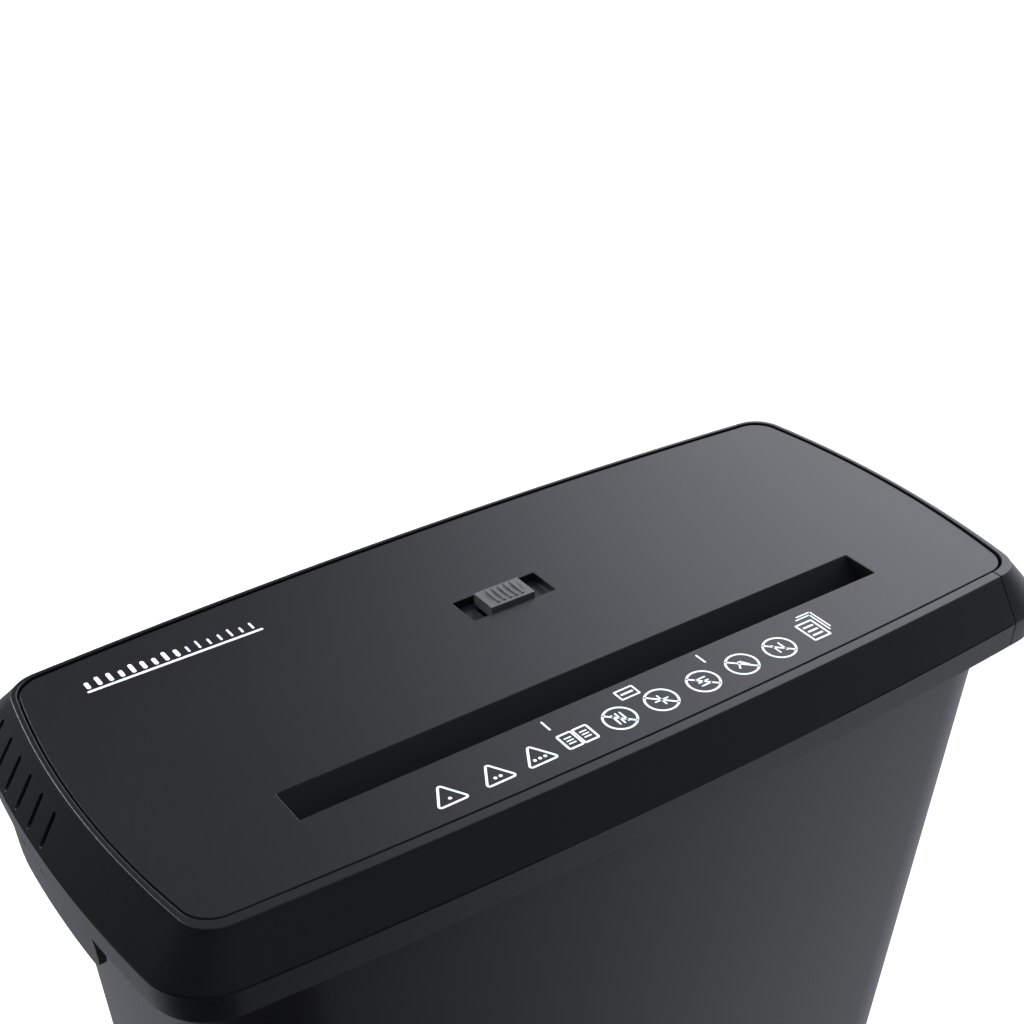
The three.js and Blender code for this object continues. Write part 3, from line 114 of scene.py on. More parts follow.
# %% A socket that can be written in expressions
class Wire:
    def __init__(self, tree, socket):
        self.tree, self.socket = tree, socket

    def node(self, kind, inputs, output=0, **settings):
        made = self.tree.nodes.new(kind)
        for key, value in settings.items():
            setattr(made, key, value)
        for key, value in inputs.items():
            if isinstance(value, Wire):
                self.tree.links.new(value.socket, made.inputs[key])
            else:
                made.inputs[key].default_value = value
        return Wire(self.tree, made.outputs[output])

    def math(self, operation, first, second=0.0):
        return self.node("ShaderNodeMath", {0: first, 1: second}, operation=operation)

    def __add__(self, other):
        return self.math("ADD", self, other)

    def __sub__(self, other):
        return self.math("SUBTRACT", self, other)

    def __rsub__(self, other):
        return self.math("SUBTRACT", other, self)

    def __mul__(self, other):
        return self.math("MULTIPLY", self, other)

    def ramp(self, low, high, to_low=0.0, to_high=1.0):
        """The value taken smoothly from low..high to to_low..to_high, and held outside it."""
        inputs = {0: self, 1: low, 2: high, 3: to_low, 4: to_high}
        return self.node("ShaderNodeMapRange", inputs, interpolation_type="SMOOTHSTEP")

    def stretched(self, x, y, z):
        """A position whose axes are multiplied, which makes a pattern finer along them."""
        return self.node("ShaderNodeVectorMath", {0: self, 1: (x, y, z)}, operation="MULTIPLY")

    def noise(self, size, detail=2.0, roughness=0.5):
        """Cloudy noise from 0 to 1 whose lumps are about `size` metres across."""
        inputs = {"Vector": self, "Scale": 1 / size, "Detail": detail, "Roughness": roughness}
        return self.node("ShaderNodeTexNoise", inputs)

    def cells(self, size, feature="F1"):
        """The distance to the middle, or to the edge, of cells about `size` metres across."""
        return self.node("ShaderNodeTexVoronoi", {"Vector": self, "Scale": 1 / size}, feature=feature)

    def mixed(self, first, second):
        """The colour that goes from first to second as this value goes from 0 to 1."""
        return self.node("ShaderNodeMix", {0: self, 6: first, 7: second}, output=2, data_type="RGBA")

    def relief(self, depth):
        """A normal bent by this value, taken as a height from 0 to `depth` metres."""
        return self.node("ShaderNodeBump", {"Height": self, "Distance": depth, "Strength": 1.0})


def new_material(name, **sockets):
    """A material with constant values on the shader's own sockets. Returned with it are a wire for the
    position on the piece, and a function that plugs wires into the shader."""
    material = bpy.data.materials.new(name)
    material.use_nodes = True
    tree = material.node_tree
    shader = tree.nodes["Principled BSDF"]
    for key, value in sockets.items():
        shader.inputs[key.replace("_", " ")].default_value = value
    place = Wire(tree, tree.nodes.new("ShaderNodeTexCoord").outputs["Object"])

    def plug(**wires):
        for key, wire in wires.items():
            tree.links.new(wire.socket, shader.inputs[key.replace("_", " ")])

    return material, place, plug


def shade(colour, factor):
    """A colour made lighter or darker, as red, green, blue and alpha."""
    return tuple(min(1.0, c * factor) for c in colour[:3]) + (1.0,)


print("shader helpers are ready")

# %% [markdown]
# ## Moulded black plastic
# The head and the bin are polypropylene or ABS from steel moulds. The moulds were sparked, so the skin has a
# fine grain, a third to half a millimetre across, and its gloss drifts slowly where the melt cooled unevenly.
# One function makes all the plastics, each with its own colour, gloss and grain.


# %% Plastics
CLOUD_SIZE, SPECK_SIZE = 0.16, 0.0015


def moulded(name, colour, roughness, grain=0.00035, depth=0.000006, drift=0.012, specular=0.5, tint=0.12):
    """A plastic with bumps `grain` metres across and `depth` high, and specks `tint` lighter and darker."""
    material, place, plug = new_material(name, IOR=1.5, Specular_IOR_Level=specular)
    clouds = place.noise(CLOUD_SIZE, detail=2.0)
    fine = place.noise(grain, detail=3.0, roughness=0.6)
    speck = place.noise(SPECK_SIZE, detail=4.0, roughness=0.65)
    dark, light = shade(colour, 1 - tint), shade(colour, 1 + tint)
    plug(
        Base_Color=(clouds * 0.4 + speck * 0.6).ramp(0.3, 0.7).mixed(dark, light),
        Roughness=clouds.ramp(0.25, 0.75, roughness - drift, roughness + drift) + (speck - 0.5) * 0.08,
        Normal=fine.relief(depth),
    )
    return material


SATIN_BLACK = (0.0056, 0.0058, 0.0068)
PANEL_BLACK = (0.0062, 0.0064, 0.0076)
BIN_BLACK = (0.0066, 0.0066, 0.0078)
INNER_BLACK = (0.022, 0.022, 0.024)
FINISH = {
    "cover_plastic": moulded("satin black cover plastic", SATIN_BLACK, 0.39, depth=0.000008),
    "panel_plastic": moulded("fine-grained panel plastic", PANEL_BLACK, 0.40, grain=0.0005, depth=0.000013),
    "housing_plastic": moulded("satin black housing plastic", SATIN_BLACK, 0.41, depth=0.000008),
    "bin_plastic": moulded("smooth black bin plastic", BIN_BLACK, 0.37, grain=0.0006, depth=0.000007),
    "switch_grey": moulded("grey switch plastic", (0.075, 0.077, 0.082), 0.45),
    "inner_plastic": moulded(
        "glass-filled inner plastic", INNER_BLACK, 0.55, grain=0.0004, depth=0.00001, tint=0.2
    ),
    "gear_plastic": moulded("natural gear plastic", (0.66, 0.63, 0.55), 0.45, grain=0.0008, tint=0.06),
    "rubber": moulded(
        "black rubber", (0.02, 0.02, 0.02), 0.82, grain=0.0007, depth=0.00002, specular=0.35, tint=0.25
    ),
    "part_blue": moulded("blue relay case", (0.03, 0.08, 0.26), 0.35, tint=0.08),
    "part_amber": moulded("amber dipped capacitor", (0.45, 0.2, 0.045), 0.28, grain=0.001, tint=0.1),
    "white_ink": moulded(
        "white pad-printed ink", (0.7, 0.76, 0.84), 0.6, grain=0.0002, specular=0.2, tint=0.05
    ),
}
print(len(FINISH), "plastics")

# %% [markdown]
# ## Steel, bronze and the circuit board
# Plates and screws are zinc plated, cutters are machined and oiled, and bushes are sintered bronze full of
# pores. Brushed and turned marks are noise drawn out along one axis. The board is green solder resist over
# copper tracks, which show as slightly raised, lighter lines.


# %% Metals
METAL_CLOUD_SIZE, PORE_SIZE, TRACK_PITCH = 0.012, 0.0007, 0.0042


def metal(name, colour, roughness, along=(1.0, 1.0, 1.0), mark=0.0006, depth=0.000012, stain=0.18):
    """A metal with marks `mark` metres wide, drawn out along the axes where `along` is small."""
    material, place, plug = new_material(name, Metallic=1.0, IOR=2.5)
    scratches = place.stretched(*along).noise(mark, detail=4.0, roughness=0.7)
    clouds = place.noise(METAL_CLOUD_SIZE, detail=3.0)
    dark, light = shade(colour, 1 - stain), shade(colour, 1 + stain)
    plug(
        Base_Color=(clouds * 0.7 + scratches * 0.3).ramp(0.3, 0.7).mixed(dark, light),
        Roughness=clouds.ramp(0.3, 0.7, roughness - 0.07, roughness + 0.09) + (scratches - 0.5) * 0.16,
        Normal=scratches.relief(depth),
    )
    return material


def sintered(name, colour):
    material, place, plug = new_material(name, Metallic=1.0, IOR=2.5)
    pores = place.cells(PORE_SIZE).ramp(0.05, 0.45)
    plug(
        Base_Color=pores.mixed(shade(colour, 0.45), shade(colour, 1.1)),
        Roughness=pores.ramp(0.0, 1.0, 0.7, 0.42),
        Normal=pores.relief(0.00003),
    )
    return material


def circuit_board(name):
    material, place, plug = new_material(name, IOR=1.5)
    edges = place.stretched(1.0, 0.35, 1.0).cells(TRACK_PITCH, feature="DISTANCE_TO_EDGE")
    tracks = edges.ramp(0.03, 0.09)
    plug(
        Base_Color=tracks.mixed((0.03, 0.16, 0.075, 1.0), (0.012, 0.075, 0.035, 1.0)),
        Roughness=tracks.ramp(0.0, 1.0, 0.3, 0.42),
        Normal=(1 - tracks).relief(0.00005),
    )
    return material


FINISH["plate_steel"] = metal("zinc-plated plate", (0.5, 0.51, 0.53), 0.38, along=(1.0, 0.12, 1.0))
FINISH["cutter_steel"] = metal(
    "oiled cutter steel", (0.26, 0.265, 0.28), 0.3, along=(6.0, 1.0, 1.0), mark=0.002
)
FINISH["gear_steel"] = metal("greased gear steel", (0.33, 0.33, 0.34), 0.36, mark=0.0009)
FINISH["screw_steel"] = metal("plated screw", (0.46, 0.47, 0.48), 0.33, mark=0.0005)
FINISH["motor_can"] = metal("drawn motor can", (0.48, 0.48, 0.5), 0.34, along=(0.15, 1.0, 1.0))
FINISH["bronze"] = sintered("sintered bronze", (0.5, 0.29, 0.13))
FINISH["board_green"] = circuit_board("green circuit board")
print(len(FINISH), "finishes")

# %% [markdown]
# ## Modelling helpers
# Moulded shells are rings drawn one after another, as a sculptor stacks slices. A circle is added, its points
# are put on the first ring, and each extrude makes the next ring. An integer layer keeps each point's turn
# round the ring, because extruding copies it. A wall is closed by ending on its first ring and merging.


# %% Rings, prisms and booleans
def wake(piece):
    bpy.ops.object.select_all(action="DESELECT")
    piece.select_set(True)
    bpy.context.view_layer.objects.active = piece


def lay_on(mesh, ring):
    """Puts the selected points of an edit mesh on a ring, each by its turn."""
    turn = mesh.verts.layers.int["turn"]
    for vertex in mesh.verts:
        if vertex.select:
            vertex.co = ring[vertex[turn]]


def stack(name, rings, close):
    """A body through rings of points: `close` is "wall" for a closed wall, or "caps" for a filled body."""
    bpy.ops.object.select_all(action="DESELECT")
    fill = "NGON" if close == "caps" else "NOTHING"
    bpy.ops.mesh.primitive_circle_add(vertices=len(rings[0]), fill_type=fill)
    piece = bpy.context.object
    piece.name = name
    bpy.ops.object.mode_set(mode="EDIT")
    mesh = bmesh.from_edit_mesh(piece.data)
    turn = mesh.verts.layers.int.new("turn")
    for number, vertex in enumerate(mesh.verts):
        vertex[turn] = number
    lay_on(mesh, rings[0])
    for ring in rings[1:] + (rings[:1] if close == "wall" else []):
        if close == "wall":
            bpy.ops.mesh.extrude_edges_move()
        else:
            bpy.ops.mesh.extrude_region_move()
        mesh = bmesh.from_edit_mesh(piece.data)
        lay_on(mesh, ring)
    bmesh.update_edit_mesh(piece.data)
    bpy.ops.mesh.select_all(action="SELECT")
    bpy.ops.mesh.remove_doubles(threshold=1e-7)
    bpy.ops.mesh.normals_make_consistent(inside=False)
    bpy.ops.object.mode_set(mode="OBJECT")
    return piece


def prism(outline, low, high, axis="Z"):
    """A flat outline drawn across an axis and extruded along it from low to high."""
    rings = []
    for w in (low, high):
        put = {"Z": lambda u, v: (u, v, w), "X": lambda u, v: (w, u, v), "Y": lambda u, v: (u, w, v)}[axis]
        rings.append([Vector(put(u, v)) for u, v in outline])
    return stack("tool", rings, "caps")


def block(x0, x1, y0, y1, z0, z1):
    """A box between two x, two y and two z."""
    return prism([(x0, y0), (x1, y0), (x1, y1), (x0, y1)], z0, z1)


def round_outline(u, v, radius, count=24):
    turns = [2 * math.pi * i / count for i in range(count)]
    return [(u + radius * math.cos(t), v + radius * math.sin(t)) for t in turns]


def joined(name, pieces):
    """Several pieces as one object."""
    bpy.ops.object.select_all(action="DESELECT")
    for piece in pieces:
        piece.select_set(True)
    bpy.context.view_layer.objects.active = pieces[0]
    if len(pieces) > 1:
        bpy.ops.object.join()
    pieces[0].name = name
    return pieces[0]


def combine(piece, operation, tool):
    """Applies a boolean of piece with tool, which is used up."""
    wake(piece)
    modifier = piece.modifiers.new("combine", "BOOLEAN")
    modifier.operation, modifier.object, modifier.solver = operation, tool, "EXACT"
    bpy.ops.object.modifier_apply(modifier=modifier.name)
    bpy.data.meshes.remove(tool.data)
    return piece


def keep_side(piece, x, left):
    """Bisects a piece at x, keeps one side and fills the cut."""
    wake(piece)
    bpy.ops.object.mode_set(mode="EDIT")
    bpy.ops.mesh.select_all(action="SELECT")
    bpy.ops.mesh.bisect(
        plane_co=(x, 0, 0),
        plane_no=(1, 0, 0),
        use_fill=True,
        clear_outer=left,
        clear_inner=not left,
        threshold=1e-6,
    )
    bpy.ops.object.mode_set(mode="OBJECT")
    return piece


def smooth(piece, edge=0.0, segments=2, angle=32):
    """Rounds the sharp edges by `edge` metres and shades the piece so that flat faces stay flat."""
    wake(piece)
    if edge:
        modifier = piece.modifiers.new("rounded edges", "BEVEL")
        modifier.width, modifier.segments, modifier.limit_method = edge, segments, "ANGLE"
        modifier.angle_limit, modifier.use_clamp_overlap = math.radians(angle), False
        modifier.miter_outer = "MITER_ARC"
        bpy.ops.object.modifier_apply(modifier=modifier.name)
    bpy.ops.object.shade_smooth_by_angle(angle=math.radians(angle))
    modifier = piece.modifiers.new("flat faces stay flat", "WEIGHTED_NORMAL")
    modifier.keep_sharp = True
    bpy.ops.object.modifier_apply(modifier=modifier.name)
    return piece


def settle(piece, name, body, finish, *stands_for):
    """Names a finished piece, paints it, ties it to its body, and hides the nodes that it stands for."""
    piece.name = piece.data.name = name
    piece.data.materials.clear()
    piece.data.materials.append(FINISH[finish])
    if "turn" in piece.data.attributes:
        piece.data.attributes.remove(piece.data.attributes["turn"])
    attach(piece, body)
    if stands_for:
        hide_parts(*stands_for)
    print(name, "has", len(piece.data.polygons), "faces")
    return piece


# %% [markdown]
# ## The head seen from above
# The head is a rectangle with rounded corners whose four sides bow outwards. Its panel, ridge, wall and skirt
# are the same outline, grown outwards by different amounts. Each corner is an arc that touches both bowed
# sides, and its centre is found by a few rounds of sliding it in until both distances fit.

# %% Outline of the head
TOP = 368 * MM
PANEL_HALF_X, PANEL_HALF_Y = 163.4 * MM, 71 * MM
BOW_END, BOW_FRONT, BOW_REAR = 7.8 * MM, 4.5 * MM, 6.9 * MM
CREASE_BOW_FRONT = 6.5 * MM
CREASE_OUT_END, CREASE_OUT_SIDE = 13.2 * MM, 14.8 * MM
PANEL_CORNER, CORNER_GROWTH = 10.2 * MM, 0.4
END_STEPS, ARC_STEPS, SIDE_STEPS = 10, 12, 16


def quarter(half_x, half_y, bow_end, bow_side, radius):
    """A quarter of the outline, from the middle of the right end to the middle of the rear."""
    x, y = half_x - bow_end - radius, half_y - bow_side - radius
    for _ in range(30):
        side_normal = Vector((2 * bow_side * x / half_x**2, 1)).normalized()
        end_normal = Vector((1, 2 * bow_end * y / half_y**2)).normalized()
        from_side = Vector((x, half_y - bow_side * (x / half_x) ** 2)) - radius * side_normal
        from_end = Vector((half_x - bow_end * (y / half_y) ** 2, y)) - radius * end_normal
        x, y = x + from_end.x - from_side.x, y + from_side.y - from_end.y
    low, high = (math.atan2(n.y, n.x) for n in (end_normal, side_normal))
    points = []
    for i in range(END_STEPS):
        along = y * i / END_STEPS
        points.append((half_x - bow_end * (along / half_y) ** 2, along))
    for i in range(ARC_STEPS):
        angle = low + (high - low) * i / ARC_STEPS
        points.append((from_end.x + radius * math.cos(angle), from_end.y + radius * math.sin(angle)))
    for i in range(SIDE_STEPS + 1):
        across = x * (1 - i / SIDE_STEPS)
        points.append((across, half_y - bow_side * (across / half_x) ** 2))
    return points


def bowed(half_x, half_y, bow_end, bow_front, bow_rear, radius, further=0.0):
    """The whole outline, anticlockwise from the middle of the right end. The front may stand further out."""
    rear = quarter(half_x, half_y, bow_end, bow_rear, radius)
    front = quarter(half_x, half_y + further, bow_end, bow_front, radius)
    turned = [(-x, y) for x, y in rear][::-1]
    return (
        rear[:-1] + turned[:-1] + [(-x, -y) for x, y in front][:-1] + [(x, -y) for x, y in front][::-1][:-1]
    )


def head_ring(end, side, drop, further=0.0):
    """The panel's outline grown by end and side millimetres, `drop` millimetres below its face, and in front
    by `further` millimetres more."""
    end, side = end * MM, side * MM
    share = min(1.0, max(0.0, side / CREASE_OUT_SIDE))
    outline = bowed(
        PANEL_HALF_X + end,
        PANEL_HALF_Y + side,
        BOW_END,
        BOW_FRONT + (CREASE_BOW_FRONT - BOW_FRONT) * share,
        BOW_REAR,
        PANEL_CORNER + CORNER_GROWTH * (end + side),
        further * MM,
    )
    return [Vector((x, y, TOP - drop * MM)) for x, y in outline]


print(len(head_ring(0, 0, 0)), "points round the head")

# %% [markdown]
# ## Upper cover and right end cap
# Both share one wall. It rises from the crease, leans inwards, and turns over a small, tight edge, which is
# the brightest line of the machine. Inside that edge a flat band, widest in front, runs to the groove round
# the panel, and a ledge carries the panel. The end cap is a separate moulding that also has the skirt below
# the crease, so the same rings are bisected at the seam, once to keep the left and once to keep the right.

# %% The shared wall
WALL = 2.4
CREASE_DROP, SKIRT_DROP = 14.0, 24.4
END_OUT, SIDE_OUT = CREASE_OUT_END / MM, CREASE_OUT_SIDE / MM
RIDGE_DROP, RIDGE_END, RIDGE_SIDE, RIDGE_FURTHER = 0.2, 2.6, 2.4, 2.4
SEAM_X, GAP = 147.8 * MM, 0.3 * MM
EDGE, SMALL_EDGE, CREASE_GAP = 0.2, 0.06, 0.12
GROOVE, LEDGE_IN, LEDGE_DROP, LEDGE_UNDER = 0.7, 6, 2.7, 5.1
CLEARANCE = 0.3


def wall_ring(drop, inset=0.0):
    """The leaning wall, from the raised edge down to the crease."""
    share = (drop - RIDGE_DROP) / (CREASE_DROP - RIDGE_DROP)
    end = RIDGE_END + (END_OUT - RIDGE_END) * share
    side = RIDGE_SIDE + (SIDE_OUT - RIDGE_SIDE) * share
    return head_ring(end - inset, side - inset, drop, RIDGE_FURTHER * (1 - share))


def skirt_ring(drop, inset=0.0):
    """The skirt, which leans in by a millimetre from the crease to its lower edge."""
    lean = (drop - CREASE_DROP) / (SKIRT_DROP - CREASE_DROP)
    return head_ring(END_OUT - lean - inset, SIDE_OUT - lean - inset, drop)


# The raised edge's section as (distance in from its outside, drop), and its inner lip's as (distance out from
# the panel, drop). A negative drop is above the panel's face.
ridge = [(0.0, 0.12), (0.05, -0.06), (0.16, -0.22), (0.3, -0.33), (0.5, -0.39), (0.8, -0.4)]
lip = [(1.0, -0.4), (GROOVE, -0.3), (GROOVE, 0.1)]
top_rings = [head_ring(RIDGE_END - inset, RIDGE_SIDE - inset, drop, RIDGE_FURTHER) for inset, drop in ridge]
top_rings += [head_ring(out, out, drop) for out, drop in lip]
ledge_rings = [
    head_ring(GROOVE, GROOVE, LEDGE_DROP),
    head_ring(-LEDGE_IN, -LEDGE_IN, LEDGE_DROP),
    head_ring(-LEDGE_IN, -LEDGE_IN, LEDGE_UNDER),
    wall_ring(LEDGE_UNDER, WALL + CLEARANCE),
]
wall_rings = [wall_ring(drop) for drop in (9.5, 5.5, 2.4, 0.6)]

cover_rings = [
    wall_ring(CREASE_DROP, EDGE),
    wall_ring(CREASE_DROP - SMALL_EDGE, SMALL_EDGE),
    wall_ring(CREASE_DROP - EDGE),
    *wall_rings,
    *top_rings,
    *ledge_rings,
    wall_ring(CREASE_DROP, WALL),
]
upper_cover = keep_side(stack("cover", cover_rings, "wall"), SEAM_X - GAP / 2, left=True)
print("cover wall", len(upper_cover.data.vertices), "points")

# %% [markdown]
# Six slanted slots let the motor's warm air out of the left end. Each is a flat outline with rounded ends,
# drawn on the end wall and pushed through it.

# %% Vents
VENT_COUNT, VENT_FIRST, VENT_PITCH, VENT_WIDTH = 6, 4.0, 10.25, 1.8
VENT_TOP, VENT_BOTTOM, VENT_SLANT = 4.0, 12.8, 1.9
VENT_OUTSIDE, VENT_INSIDE = -190 * MM, -162.9 * MM


def slot_outline(y, steps=6):
    """A rounded slot that leans: its upper end is VENT_SLANT further back than its lower end."""
    radius = VENT_WIDTH / 2
    lean = math.atan2(VENT_BOTTOM - VENT_TOP, VENT_SLANT)
    ends = [
        (y, TOP / MM - VENT_TOP - radius, lean - math.pi / 2),
        (y - VENT_SLANT, TOP / MM - VENT_BOTTOM + radius, lean + math.pi / 2),
    ]
    outline = []
    for u, v, start in ends:
        for i in range(steps + 1):
            angle = start + math.pi * i / steps
            outline.append(((u + radius * math.cos(angle)) * MM, (v + radius * math.sin(angle)) * MM))
    return outline


vents = []
for i in range(VENT_COUNT):
    vents.append(prism(slot_outline(VENT_FIRST + i * VENT_PITCH), VENT_OUTSIDE, VENT_INSIDE, "X"))
combine(upper_cover, "DIFFERENCE", joined("vents", vents))
smooth(upper_cover, edge=0.0002)
settle(upper_cover, "cover_shell", "head", "cover_plastic", "upper_cover")

# %% [markdown]
# The finger grips hang from the skirt at both ends. Each is a thin curved tongue with rounded corners, cut
# from a taller skirt by a rounded block and merged with its moulding.

# %% Finger grips
GRIP_HALF, GRIP_DROP, GRIP_CORNER = 30.0, 13.5, 6.0
GRIP_INSIDE, GRIP_OUTSIDE = 150 * MM, 200 * MM


def finger_grip(side):
    """The tongue at the right end where side is 1, and at the left end where it is -1."""
    low, high = SKIRT_DROP + GRIP_DROP, SKIRT_DROP - 1
    rings = [skirt_ring(low + 2), skirt_ring(high), skirt_ring(high, WALL), skirt_ring(low + 2, WALL)]
    tongue = stack("grip", rings, "wall")
    middle = TOP / MM - low + GRIP_DROP
    outline = []
    for start, (right_or_left, up_or_down) in enumerate([(1, 1), (-1, 1), (-1, -1), (1, -1)]):
        u = right_or_left * (GRIP_HALF - GRIP_CORNER)
        v = middle + up_or_down * (GRIP_DROP - GRIP_CORNER)
        for i in range(7):
            angle = (start + i / 6) * math.pi / 2
            across, height = u + GRIP_CORNER * math.cos(angle), v + GRIP_CORNER * math.sin(angle)
            outline.append((across * MM, height * MM))
    low_x, high_x = sorted((side * GRIP_INSIDE, side * GRIP_OUTSIDE))
    return combine(tongue, "INTERSECT", prism(outline, low_x, high_x, "X"))


left_grip, right_grip = finger_grip(-1), finger_grip(1)

# %% Right end cap
SKIRT_MIDDLE, HEM, SMALL_HEM, CREASE_ROUND = 19, 0.45, 0.12, 0.5

hem_rings = [
    skirt_ring(SKIRT_DROP, HEM),
    skirt_ring(SKIRT_DROP - SMALL_HEM, SMALL_HEM),
    skirt_ring(SKIRT_DROP - HEM),
    skirt_ring(SKIRT_MIDDLE),
]
cap_rings = [
    *hem_rings,
    skirt_ring(CREASE_DROP + CREASE_ROUND),
    wall_ring(CREASE_DROP - CREASE_ROUND),
    *wall_rings,
    *top_rings,
    *ledge_rings,
    skirt_ring(CREASE_DROP, WALL),
    skirt_ring(SKIRT_DROP, WALL),
]
end_cap = keep_side(stack("cap", cap_rings, "wall"), SEAM_X + GAP / 2, left=False)
combine(end_cap, "UNION", right_grip)
smooth(end_cap, edge=0.0002)
settle(end_cap, "end_cap", "head", "cover_plastic", "right_end_cap")

# %% [markdown]
# ## Lower housing
# Under the crease runs the skirt, which hides the bin's rim. A floor inside it rests on the bin, and a tub
# hangs from the floor into the bin and holds the mechanism. The strips fall through its long outlet. Skirt,
# grip, floor and tub are one moulding, so they are made apart and merged.

# %% Lower housing
TUB_HALF_X, TUB_HALF_Y, TUB_CORNER = 146.0, 72.0, 27.0
FLOOR_DROP, FLOOR_THICK, TUB_DROP, TUB_WALL = 22.0, 2.4, 95.0, 2.2
THROAT_Y = -41.3
OUTLET_HALF_X, OUTLET_HALF_Y = 113.0, 19.0
TUB_ROUND, TUB_SMALL_ROUND, TUB_BOW_END, TUB_BOW_SIDE = 3, 0.8, 3, 6.6
COVER_SCREW_X, COVER_SCREW_Y, CAP_SCREW_X, CAP_SCREW_Y, SCREW_HOLE = 70, 74.2, 154, 40, 1.8
PLUNGER_X, PLUNGER_HALF, GLAND_HOLE = 159.6, 2.8, 4.1


def tub_ring(drop, inset=0.0):
    outline = bowed(
        (TUB_HALF_X - inset) * MM,
        (TUB_HALF_Y - inset) * MM,
        TUB_BOW_END * MM,
        TUB_BOW_SIDE * MM,
        TUB_BOW_SIDE * MM,
        (TUB_CORNER - inset) * MM,
    )
    return [Vector((x, y, TOP - drop * MM)) for x, y in outline]


def floor_ring(drop):
    """The floor's rim, which sinks into the skirt's wall on the left and stays clear of the end cap."""
    merged, clear = skirt_ring(drop, WALL - 0.6), skirt_ring(drop, WALL + CLEARANCE)
    return [a if a.x < SEAM_X - GAP / 2 else b for a, b in zip(merged, clear)]


def outlet_ring(drop):
    """The tub's outline pressed into the outlet's rectangle, point by point."""
    ring = []
    for point in tub_ring(drop):
        reach = max(abs(point.x) / TUB_HALF_X, abs(point.y) / TUB_HALF_Y) / MM
        u, v = point.x / reach / TUB_HALF_X, point.y / reach / TUB_HALF_Y
        ring.append(Vector((u * OUTLET_HALF_X, v * OUTLET_HALF_Y + THROAT_Y * MM, point.z)))
    return ring


under_crease = CREASE_DROP + CREASE_GAP
skirt_rings = [
    *hem_rings,
    skirt_ring(under_crease + EDGE),
    skirt_ring(under_crease + SMALL_EDGE, SMALL_EDGE),
    skirt_ring(under_crease, EDGE),
    skirt_ring(under_crease, WALL),
    skirt_ring(SKIRT_DROP, WALL),
]
housing = keep_side(stack("skirt", skirt_rings, "wall"), SEAM_X - GAP / 2, left=True)
combine(housing, "UNION", left_grip)

tub_floor = TUB_DROP - TUB_WALL
tub_rings = [
    floor_ring(FLOOR_DROP),
    tub_ring(FLOOR_DROP, TUB_WALL),
    tub_ring(tub_floor - TUB_ROUND, TUB_WALL),
    tub_ring(tub_floor - TUB_SMALL_ROUND, TUB_WALL + TUB_SMALL_ROUND),
    tub_ring(tub_floor, TUB_WALL + TUB_ROUND),
    outlet_ring(tub_floor),
    outlet_ring(TUB_DROP),
    tub_ring(TUB_DROP, TUB_ROUND),
    tub_ring(TUB_DROP - TUB_SMALL_ROUND, TUB_SMALL_ROUND),
    tub_ring(TUB_DROP - TUB_ROUND),
    tub_ring(FLOOR_DROP + FLOOR_THICK),
    floor_ring(FLOOR_DROP + FLOOR_THICK),
]
combine(housing, "UNION", stack("tub", tub_rings, "wall"))

under_floor, over_floor = TOP - 33 * MM, TOP - 16 * MM
screws = [(x, y) for x in (-COVER_SCREW_X, COVER_SCREW_X) for y in (-COVER_SCREW_Y, COVER_SCREW_Y)]
screws += [(CAP_SCREW_X, -CAP_SCREW_Y), (CAP_SCREW_X, CAP_SCREW_Y)]
holes = []
for x, y in screws:
    holes.append(prism(round_outline(x * MM, y * MM, SCREW_HOLE * MM, 12), under_floor, over_floor))
plunger_x, half = PLUNGER_X * MM, PLUNGER_HALF * MM
holes.append(block(plunger_x - half, plunger_x + half, -half, half, under_floor, over_floor))
gland_low, gland_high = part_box("cord_gland")
gland = (gland_low + gland_high) / 2
holes.append(prism(round_outline(gland.x, gland.z, GLAND_HOLE * MM), 70 * MM, 95 * MM, "Y"))
combine(housing, "DIFFERENCE", joined("holes", holes))
smooth(housing, edge=0.00015, angle=40)
settle(housing, "housing_shell", "head", "housing_plastic", "lower_housing")

# %% [markdown]
# ## Top panel and feed slot
# The panel is a flat plate in the groove. Its feed slot starts as a sharp-edged mouth, slopes down from the
# rear and ends in a narrow throat near its front edge, so that fingers can't follow the paper. A shallow
# pocket holds the power slide.

# %% Top panel
SLOT_HALF, SLOT_FRONT, SLOT_REAR = 114.2, -44.2, -30.0
THROAT_FRONT, THROAT_REAR = -43.8, -38.8
FUNNEL_DEPTH, FUNNEL_WALL = 13.0, 1.8
POCKET_HALF_X, POCKET_HALF_Y, POCKET_Y, POCKET_DEEP = 17.0, 6.5, 18.0, 3.2
POCKET_WALL, STEM_SLOT_HALF_X, STEM_SLOT_HALF_Y = 1.6, 9.8, 2.8
PANEL_THICK = 2.4


def section(points):
    """A cross-section given as (y, height over the panel's face) in millimetres."""
    return [(y * MM, TOP + z * MM) for y, z in points]


plate_rings = [
    head_ring(0, 0, PANEL_THICK),
    head_ring(0, 0, 0.45),
    head_ring(-0.1, -0.1, 0.15),
    head_ring(-0.24, -0.24, 0.04),
    head_ring(-0.5, -0.5, 0),
]
panel = stack("panel", plate_rings, "caps")
funnel_outside = section(
    [
        (SLOT_FRONT - FUNNEL_WALL, -1),
        (THROAT_FRONT - FUNNEL_WALL, -FUNNEL_DEPTH),
        (THROAT_REAR + FUNNEL_WALL, -FUNNEL_DEPTH),
        (SLOT_REAR + FUNNEL_WALL, -1),
    ]
)
funnel_inside = section(
    [
        (THROAT_FRONT, -FUNNEL_DEPTH - 1),
        (THROAT_REAR, -FUNNEL_DEPTH - 1),
        (THROAT_REAR, -FUNNEL_DEPTH + 1),
        (SLOT_REAR, 0),
        (SLOT_REAR, 1),
        (SLOT_FRONT, 1),
        (SLOT_FRONT, 0),
        (THROAT_FRONT, -FUNNEL_DEPTH + 1),
    ]
)
wide = (SLOT_HALF + FUNNEL_WALL) * MM
